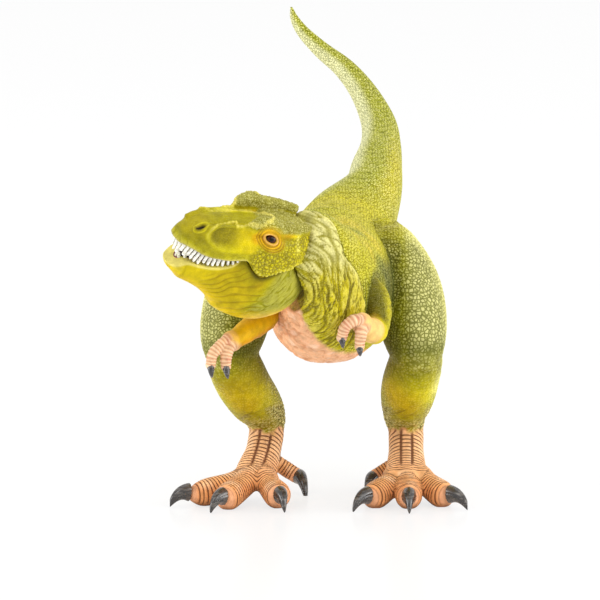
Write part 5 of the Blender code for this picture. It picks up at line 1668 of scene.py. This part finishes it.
P, N, Q, NQ = surface_of(jaw)
X, Y, Z = P.T
below_rim = rim_height(X * MM) / MM - Z
mouth_inside = ease(-0.45, -0.15, in_recess(P, JAW_SHARES, FLOOR_INSET, FLOOR_START_SHARE))
mouth_inside *= ease(-0.6, -0.3, Z - floor_height(X * MM) / MM)
outside = 1 - mouth_inside
rear = ease(15.5, 9.5, X + 0.45 * (Z + 8))
grooves = folds(Q @ np.array((0.42, 0.0, 0.90)), Q, 2.2, 2.0, 91)
fine_lines = wrinkles(Q @ np.array((0.72, 0.0, 0.69)), Q, 0.75, 7.0, 93)
side_wall = ease(0.25, 0.7, NQ[:, 1]) * outside
curved = side_wall * ease(9, 14, X) * ease(34, 27, X) * ease(1.0, 3.0, below_rim)
striped = side_wall * rear * ease(0.4, 1.6, below_rim)
groove_line = ease(0.35, 0.05, grooves)
stripe_line = ease(0.8, 0.1, fine_lines)
crease = np.exp(-((X - 38.2) / 0.5) ** 2) * side_wall * ease(0.5, 1.5, below_rim)
rim_edge = np.exp(-((below_rim - 0.4) / 0.4) ** 2) * ease(18, 22, X) * outside
up = 0.12 * rim_edge - 0.20 * curved * groove_line - 0.20 * striped * stripe_line - 0.20 * crease
up += 0.08 * noise(P, 4, 95) * (1 - rear)
moved_to(jaw, (P + N * (up * outside)[:, None]) * MM)

paint = Paint(len(P), (178, 160, 38))
soft = noise(P, 7, 97)
paint.coats(
    (ease(0.0, 0.8, soft), (198, 168, 40), 0.5),
    (ease(26, 33, X), (196, 182, 64), 0.6),
    (ease(34.5, 41.0, X), (204, 187, 98), 0.85),
    # Painted shade on the jaw's side under the mouth's corner, where the cheek hangs over it.
    (side_wall * ease(26, 20, X) * ease(12, 17, X) * ease(10, 4, below_rim), (140, 132, 14), 0.75),
    (side_wall * ease(4.0, 0.6, below_rim) * ease(25, 19, X) * ease(8, 12, X), (112, 106, 14), 0.7),
    (side_wall * rear, (160, 158, 90), 0.9),
    # Painted shade in the creases of the stripes and grooves.
    (striped * stripe_line, (122, 120, 36), 0.7),
    (curved * groove_line, (140, 122, 20), 0.6),
    # Painted shade in the seam along the jaw's top behind the mouth's corner.
    (side_wall * ease(2.2, 0.5, below_rim) * ease(20, 17, X) * ease(0, 3, X), (70, 64, 10), 0.85),
)
low = ease(-0.2, -0.7, N[:, 2]) * outside
paint.coats(
    (low, (212, 186, 66), 0.85),
    (low * ease(20, 8, X), (232, 196, 134), 0.6),
    (crease, (168, 152, 56), 0.5),
    (rim_edge, (220, 210, 144), 0.7),
    # Painted shade: the mouth's floor painted dark, as the deep shadow inside the mouth.
    (mouth_inside, (84, 36, 30), 0.95),
)
paint.rich(0.22)
give(
    jaw, paint=paint.light, rows=np.zeros_like(P), scale_depth=0.10 * outside,
    scale_size=np.zeros(len(P)), frost=0.1 * outside,
)

head_material = skin_material("smooth_painted_skin", 0.50, 0.80, (160, 156, 84), (236, 230, 176), 0.00008)
settled(head, "figure", head_material, ("head",), PLACE).name = "head_skin"
settled(jaw, "jaw", head_material, ("lower_jaw",), PLACE).name = "lower_jaw_skin"

# Eyes: a glossy dark ball with a brown iris in each socket.
eye_material = painted_material("eye_gloss", 0.12, 0.000004, Specular_IOR_Level=0.22)
for side, name in ((1, "left_eye"), (-1, "right_eye")):
    axis = eye_normal * np.array((1, side, 1))
    centre = EYE * np.array((1, side, 1)) - axis * 1.85
    eye = ball(name, centre * MM, 1.85 * MM, (1.1, 1.0, 0.95))
    P = points_of(eye) / MM
    look = np.linalg.norm((P - centre) - np.outer((P - centre) @ axis, axis), axis=1)
    paint = Paint(len(P), (40, 18, 8))
    paint.coat(ease(1.4, 1.1, look), (66, 28, 6), 0.9)
    paint.coat(ease(0.8, 0.6, look), (10, 6, 4), 1.0)
    give(eye, paint=paint.light)
    settled(eye, "figure", eye_material, (), PLACE)


# --- Teeth, gums, tongue and pin ---------------------------------------------------------------------------


def teeth_graph():
    """Stands teeth along a line. Each takes its length and width from the line and turns with it."""
    tree = bpy.data.node_groups.new("teeth_on_a_line", "GeometryNodeTree")
    tree.interface.new_socket("Geometry", in_out="OUTPUT", socket_type="NodeSocketGeometry")
    for label, kind in (
        ("Geometry", "Geometry"), ("Teeth", "Int"), ("Outward bend", "Float"), ("Point width", "Float"),
        ("Taper", "Float"), ("Flatness", "Float"), ("Turn over", "Float"), ("Unevenness", "Float"),
        ("Material", "Material"),
    ):
        tree.interface.new_socket(label, in_out="INPUT", socket_type="NodeSocket" + kind)
    net = Net(tree)
    add = net.add
    given = {socket.name: Wire(net, socket) for socket in tree.nodes.new("NodeGroupInput").outputs}
    radius = (1 - add("GeometryNodeSplineParameter")) ** given["Taper"] + given["Point width"]
    middle = add("ShaderNodeCombineXYZ", {"Y": given["Outward bend"], "Z": 0.5})
    bend = {"Resolution": 10, "Start": (0, 0, 0), "Middle": middle, "End": UP}
    spine = add("GeometryNodeCurveQuadraticBezier", bend)
    spine = add("GeometryNodeSetCurveRadius", {"Curve": spine, "Radius": radius})
    ring = add("GeometryNodeCurvePrimitiveCircle", {"Resolution": 14, "Radius": 1.0})
    tooth = add("GeometryNodeCurveToMesh", {"Curve": spine, "Profile Curve": ring, "Fill Caps": True})
    line = add("GeometryNodeMeshToCurve", {"Mesh": given["Geometry"]})
    line = add("GeometryNodeResampleCurve", {"Curve": line, "Count": given["Teeth"]})
    length = add("GeometryNodeInputNamedAttribute", {"Name": "tooth_length"}, data_type="FLOAT")
    width = add("GeometryNodeInputNamedAttribute", {"Name": "tooth_width"}, data_type="FLOAT")
    limits = {2: 1 - given["Unevenness"], 3: 1.0, "Seed": 5}
    uneven = add("FunctionNodeRandomValue", limits, 1, data_type="FLOAT")
    size = add("ShaderNodeCombineXYZ", {"X": width, "Y": width * given["Flatness"], "Z": length * uneven})
    turn = add("FunctionNodeAlignRotationToVector", {"Vector": add("GeometryNodeInputTangent")}, axis="X")
    over = add("ShaderNodeCombineXYZ", {"X": given["Turn over"] * math.pi})
    over = add("FunctionNodeEulerToRotation", {0: over})
    turn = add("FunctionNodeRotateRotation", {"Rotation": turn, "Rotate By": over}, rotation_space="LOCAL")
    teeth = add("GeometryNodeInstanceOnPoints", {"Points": line, "Instance": tooth, "Rotation": turn, "Scale": size})
    teeth = add("GeometryNodeRealizeInstances", {"Geometry": teeth})
    teeth = add("GeometryNodeSetMaterial", {"Geometry": teeth, "Material": given["Material"]})
    add("NodeGroupOutput", {0: teeth}, None)
    return tree


TEETH_GRAPH = teeth_graph()
tooth_material = plain_material("tooth_enamel", (206, 202, 184), (250, 250, 244), 0.8, 0.22, 0.00001, IOR=1.5)
gum_material = plain_material("gum_flesh", (84, 32, 26), (132, 58, 46), 0.7, 0.4, 0.00003)


def tooth_row(name, table, inset, root, tip, width, **sizes):
    """Teeth along the mouth curve, each between two heights that depend on its place."""
    line = mouth_curve(table, inset, TEETH_START_SHARE, 120)[2:-2]
    x = line[:, 0]
    mesh = bpy.data.meshes.new(name)
    mesh.from_pydata(np.column_stack([line, root(x)]).tolist(), [(i, i + 1) for i in range(len(line) - 1)], [])
    row = placed(name, mesh)
    give(row, tooth_length=np.abs(tip(x) - root(x)), tooth_width=width * (0.62 + 0.38 * ease(20, 30, x / MM)))
    nodes = row.modifiers.new("teeth", "NODES")
    nodes.node_group = TEETH_GRAPH
    for item in TEETH_GRAPH.interface.items_tree:
        value = sizes.get(item.name.lower().replace(" ", "_"))
        if item.in_out == "INPUT" and value is not None:
            nodes[item.identifier] = value
    return baked(row)


def gum(name, table, inset, width, low, high):
    """A rounded strip of gum along the mouth curve."""
    rows = []
    for x, y in mouth_curve(table, inset, TEETH_START_SHARE, 60):
        half = (high(x) - low(x)) / 2
        rows.append((x, y, (low(x) + high(x)) / 2, width / 2, half, half))
    return loft(name, rows, UP, 14, 3)


def upper_tip_height(x):
    """Where the upper teeth end: most of the way to the jaw's rim, and within their own length."""
    lip = lip_height(x)
    way, length = UPPER_TOOTH_REACH_SHARES
    return lip - np.clip((lip - rim_height(x)) * way, 2 * FIT_GAP, UPPER_TOOTH_LENGTH * length)


upper = tooth_row(
    "upper_fangs", SKULL_SHARES, UPPER_STRIP_INSET * UPPER_TOOTH_INSET_SHARE,
    lambda x: lip_height(x) + UPPER_TOOTH_ROOT, upper_tip_height, UPPER_TOOTH_WIDTH,
    teeth=UPPER_TEETH, outward_bend=-0.14, point_width=0.03, taper=0.85, flatness=0.8, turn_over=1.0,
    unevenness=0.4, material=tooth_material,
)
settled(upper, "figure", tooth_material, ("upper_teeth",), PLACE)
upper_gum = gum(
    "upper_gum", SKULL_SHARES, UPPER_STRIP_INSET, UPPER_STRIP_WIDTH,
    lambda x: lip_height(x) + 0.0001, lambda x: lip_height(x) + UPPER_STRIP_HEIGHT,
)
settled(upper_gum, "figure", gum_material, (), PLACE)
lower = tooth_row(
    "lower_fangs", JAW_SHARES, LOWER_STRIP_INSET, lambda x: rim_height(x) - LOWER_TOOTH_ROOT,
    lambda x: rim_height(x) + LOWER_TOOTH_LENGTH - MOUTH_GAP / 2, LOWER_TOOTH_WIDTH,
    teeth=LOWER_TEETH, outward_bend=0.14, point_width=0.04, taper=0.8, flatness=0.8, turn_over=0.0,
    unevenness=0.25, material=tooth_material,
)
settled(lower, "jaw", tooth_material, ("lower_teeth",), PLACE)
lower_gum = gum(
    "lower_gum", JAW_SHARES, LOWER_STRIP_INSET, LOWER_STRIP_WIDTH * 1.2,
    lambda x: rim_height(x) - LOWER_STRIP_HEIGHT - MOUTH_GAP / 2, lambda x: rim_height(x) - MOUTH_GAP / 2,
)
settled(lower_gum, "jaw", gum_material, (), PLACE)

plan = curve_through([(row[0] * HEAD_LENGTH, row[3] * HEAD_WIDTH) for row in JAW_SHARES])
tongue_rows = []
for along, fill in TONGUE_SHARES:
    x = along * HEAD_LENGTH
    room = float(np.interp(x, plan[:, 0], plan[:, 1])) * (1 - FLOOR_INSET / (MOUTH_MIDDLE_SHARE * HEAD_WIDTH))
    height = float(floor_height(x)) + FIT_GAP + TONGUE_THICKNESS / 2
    half = TONGUE_THICKNESS / 2 * fill
    tongue_rows.append((x, 0, height, (room - FIT_GAP) * fill * TONGUE_FILL_SHARE, half, half))
tongue = remeshed(loft("tongue_flesh", curve_through(tongue_rows), UP, 24, 2.3), TONGUE_VOXEL, 3)
P = points_of(tongue) / MM
furrow = ease(0.8, 0, np.abs(P[:, 1])) * ease(-7, -5.8, P[:, 2])
P[:, 2] -= 0.25 * furrow
moved_to(tongue, P * MM)
tongue_material = plain_material("tongue_flesh", (160, 62, 54), (206, 106, 92), 0.9, 0.3, 0.00004, IOR=1.45)
settled(tongue, "jaw", tongue_material, ("tongue",), PLACE)

pin_material = plain_material("pin_plastic", (34, 30, 24), (62, 56, 44), 1.0, 0.45, 0.00002)
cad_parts["jaw_pin"].data.materials.clear()
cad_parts["jaw_pin"].data.materials.append(pin_material)


# --- Arms and claws ----------------------------------------------------------------------------------------


def claw_rows(root, tip, width, height, point):
    """A curved claw that leaves its root level and hooks down to its tip."""
    crest = root.lerp(tip, CLAW_BEND_SHARE)
    crest.z = root.z + height * CLAW_RISE_SHARE
    rows = []
    for t in np.linspace(0, 1, 25):
        place = root * (1 - t) ** 2 + crest * (2 * t * (1 - t)) + tip * t**2
        size = (1 - t) ** FOOT_CLAW_TAPER * CLAW_ROOT_SHARE + point
        rows.append((*place, size * width, size * height, size * height))
    return rows


def hand_claw_rows(root, tip):
    rows = []
    bend = Vector((0, -HAND_CLAW_WIDTH * 0.5, 0))
    for t in np.linspace(0, 1, 17):
        place = Vector(root).lerp(tip, t) + bend * (4 * t * (1 - t))
        size = (1 - t) ** HAND_CLAW_TAPER * CLAW_ROOT_SHARE + HAND_CLAW_POINT_SHARE
        rows.append((*place, size * HAND_CLAW_WIDTH, size * HAND_CLAW_WIDTH, size * HAND_CLAW_WIDTH))
    return rows


claw_material = painted_material("claw_horn", 0.24, 0.00002, IOR=1.5, Coat_Weight=0.35, Coat_Roughness=0.15)


def horn(name, rows, hint, voxel):
    """A claw with grooves along its sides, pale streaks and a dark tip."""
    claw = remeshed(loft(name, rows, hint, 32), voxel, 2)
    P, N, _, _ = surface_of(claw)
    path = np.array(rows) / MM
    _, _, at = from_path(P, path)
    pick = np.clip(np.round(at), 0, len(path) - 1).astype(int)
    offset = (P - path[pick, :3]) / path[pick, 3][:, None]
    groove = np.exp(-((np.abs(offset[:, 2]) - 0.25) / 0.16) ** 2)
    streak = noise(P * np.array((0.5, 0.5, 2.5)), 0.9, 7)
    carved = 0.10 * groove * ease(len(path), len(path) * 0.5, at)
    moved_to(claw, (P - N * carved[:, None]) * MM)
    paint = Paint(len(P), (52, 48, 46))
    paint.coats(
        (ease(0.1, 0.8, streak), (104, 98, 92), 0.7),
        (ease(0.35 * len(path), 0, at), (92, 78, 66), 0.6),
        # Painted shade in the side grooves.
        (groove, (24, 22, 22), 0.6),
        (ease(0.75 * len(path), len(path), at), (26, 24, 24), 0.7),
    )
    give(claw, paint=paint.light)
    return claw


for side in SIDES:
    shares = LEG_SHARES[side]
    spur_end = layout(shares["spur"][-1])
    width = SPUR_WIDTH * SPUR_CLAW_SHARE
    rows_of_claw = claw_rows(spur_end, layout(shares["spur_tip"]), width, width, SPUR_POINT_SHARE)
    claw = horn(side + "_spur_claw", rows_of_claw, UP, FOOT_CLAW_VOXEL)
    settled(claw, "figure", claw_material)
    for number, (toe_shares, tip) in enumerate(zip(shares["toes"], shares["claw_tips"]), 1):
        root = layout(toe_shares[-1])
        root.z += TOE_HEIGHT * CLAW_ROOT_RISE_SHARE
        rows_of_claw = claw_rows(root, layout(tip), FOOT_CLAW_WIDTH, FOOT_CLAW_HEIGHT, FOOT_CLAW_POINT_SHARE)
        claw = horn(f"{side}_toe_claw_{number}", rows_of_claw, UP, FOOT_CLAW_VOXEL)
        settled(claw, "figure", claw_material)

arm_material = skin_material("smooth_arm_skin", 0.50, 0.80, (160, 140, 84), (240, 226, 184), 0.00006)
for side in SIDES:
    shares = ARM_SHARES[side]
    arm = [chest_place(p) for p in shares["arm"]]
    forearm = [chest_place(p) for p in shares["forearm"]]
    pieces = [
        loft("arm", limb_rows(arm, ARM_SECTION_SHARES, UPPER_ARM_WIDTH, UPPER_ARM_WIDTH), AHEAD),
        loft("forearm", limb_rows(forearm, FOREARM_SECTION_SHARES, FOREARM_WIDTH, FOREARM_WIDTH), UP),
        ball("elbow", arm[-1], FOREARM_WIDTH * ELBOW_SHARE),
        ball("hand", forearm[-1], FOREARM_WIDTH * HAND_SHARE),
    ]
    fingers = []
    for number, (finger_shares, tip) in enumerate(zip(shares["fingers"], shares["claw_tips"]), 1):
        finger = [chest_place(p) for p in finger_shares]
        fingers.append(curve_through(finger) / MM)
        rows = limb_rows(finger, FINGER_SECTION_SHARES, FINGER_WIDTH, FINGER_WIDTH)
        pieces.append(loft("finger", rows, AHEAD))
        pieces.append(ball("pad", finger[-1], FINGER_WIDTH * FINGER_PAD_SHARE))
        rows = hand_claw_rows(finger[-1], chest_place(tip))
        claw = horn(f"{side}_hand_claw_{number}", rows, AHEAD, HAND_CLAW_VOXEL)
        settled(claw, "figure", claw_material)
    skin = remeshed(joined(side + "_arm_skin", pieces), ARM_FINE_VOXEL, 6)
    P, N, _, _ = surface_of(skin)
    upper_far, upper_run, _ = from_path(P, curve_through(arm) / MM)
    fore_far, fore_run, _ = from_path(P, curve_through(forearm) / MM)
    finger_far = np.full(len(P), 1e9)
    finger_run = np.zeros(len(P))
    for path in fingers:
        far, run, _ = from_path(P, path)
        finger_run = np.where(far < finger_far, run, finger_run)
        finger_far = np.minimum(finger_far, far)
    hand = ease(0.6, -0.9, finger_far - np.minimum(upper_far, fore_far) + 0.6)
    on_upper = ease(1.2, -1.2, upper_far - fore_far) * (1 - hand)
    joint_rings = 0.5 + 0.5 * np.sin(finger_run * math.tau / 0.95)
    ring_zone = hand * ease(0.6, 1.6, finger_run)
    elbow = near(P, np.array(arm[-1]) / MM, 5, 0.3)
    elbow_folds = folds(P @ np.array((0.3, 0.2, 0.9)), P, 1.2, 1.2, 111)
    arm_lines = (1 - wrinkles(upper_run, P, 1.0, 4.0, 115)) * on_upper
    up = 0.16 * ring_zone * (joint_rings - 0.5) + 0.12 * elbow * (elbow_folds - 0.5)
    up += 0.12 * noise(P, 2.4, 113) - 0.16 * arm_lines
    moved_to(skin, (P + N * up[:, None]) * MM)
    paint = Paint(len(P), (226, 192, 136) if side == "left" else (202, 166, 30))
    if side == "left":
        paint.coats(
            (ease(7.5, 4.5, fore_run), (196, 186, 60), 0.9),
            (on_upper, (98, 96, 8), 0.95),
            # Painted highlight on the upper arm's and elbow's outer side, and painted shade in the arm's wrinkles.
            (on_upper * ease(0.4, 0.9, N[:, 0]), (196, 188, 56), 0.8),
            (elbow * ease(0.0, 0.7, N[:, 0]), (214, 204, 88), 0.6),
            (arm_lines, (84, 82, 14), 0.5),
        )
    else:
        paint.coats(
            (on_upper, (190, 172, 50), 0.9),
            (ease(0.0, -0.7, N[:, 2]), (176, 122, 60), 0.75),
            (ease(0.2, 0.8, noise(P, 5, 117)), (206, 158, 20), 0.5),
        )
    paint.rich(0.25)
    paint.coats(
        (hand, (226, 182, 142), 0.95),
        (hand * ease(0.0, 0.8, noise(P, 1.8, 119)), (200, 122, 96), 0.55),
        # Painted shade in the finger rings' creases and painted highlights on their crests, then painted shade in the
        # elbow's folds.
        (ring_zone * ease(0.5, 0.1, joint_rings), (168, 98, 76), 0.5),
        (ring_zone * ease(0.6, 1.0, joint_rings), (238, 208, 176), 0.6),
        (elbow * ease(0.4, 0.1, elbow_folds), (150, 120, 50), 0.4),
    )
    give(
        skin, paint=paint.light, rows=np.zeros_like(P), scale_depth=0.12 + 0.45 * on_upper,
        scale_size=np.zeros(len(P)), frost=0.15 * np.ones(len(P)),
    )
    settled(skin, "figure", arm_material, (side + "_arm",))


# --- Floor, light and camera -------------------------------------------------------------------------------

world = bpy.data.worlds.new("studio")
bpy.context.scene.world = world
world.use_nodes = True
sky = Net(world.node_tree)
backdrop = world.node_tree.nodes["Background"]
backdrop.inputs["Color"].default_value = (1, 1, 1, 1)
level = {0: sky.add("ShaderNodeLightPath", (), "Is Camera Ray"), 3: WORLD_LEVEL, 4: 1.0}
sky.feed(backdrop.inputs["Strength"], sky.add("ShaderNodeMapRange", level))

made = bmesh.new()
bmesh.ops.create_circle(made, cap_ends=True, radius=FLOOR_RADIUS, segments=96)
floor = object_of(made, "studio_floor")
net = Finish("studio_floor")
net.shader.inputs["Base Color"].default_value = (FLOOR_GREY, FLOOR_GREY, FLOOR_GREY, 1)
net.shader.inputs["Roughness"].default_value = 0.22
net.shader.inputs["Specular IOR Level"].default_value = 0.5
glow = net.add("ShaderNodeEmission", {"Color": (1, 1, 1), "Strength": 1.0})
share = net.add("ShaderNodeLightPath", (), "Is Camera Ray") * FLOOR_GLOW_SHARE
mixed = {0: share, 1: Wire(net, net.shader.outputs[0]), 2: glow}
net.feed(net.tree.nodes["Material Output"].inputs["Surface"], net.add("ShaderNodeMixShader", mixed))
floor.data.materials.append(net.material)
floor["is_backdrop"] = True

for name, place, size, power in LAMPS:
    lamp = bpy.data.lights.new(name, "AREA")
    lamp.shape = "DISK"
    lamp.size = size
    lamp.energy = power
    softbox = placed(name, lamp)
    softbox.location = place
    softbox.rotation_euler = (Vector(LAMP_AIM) - Vector(place)).to_track_quat("-Z", "Y").to_euler()

camera_data = bpy.data.cameras.new("camera")
camera_data.sensor_width = CAMERA_SENSOR
camera_data.lens = CAMERA_LENS
camera_data.clip_end = 50
camera = placed("camera", camera_data)
camera.location = CAMERA + SHIFT
camera.rotation_euler = (math.pi / 2 - CAMERA_PITCH, 0, 0)
bpy.context.scene.camera = camera
bpy.context.scene.view_settings.view_transform = "Standard"

low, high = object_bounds()
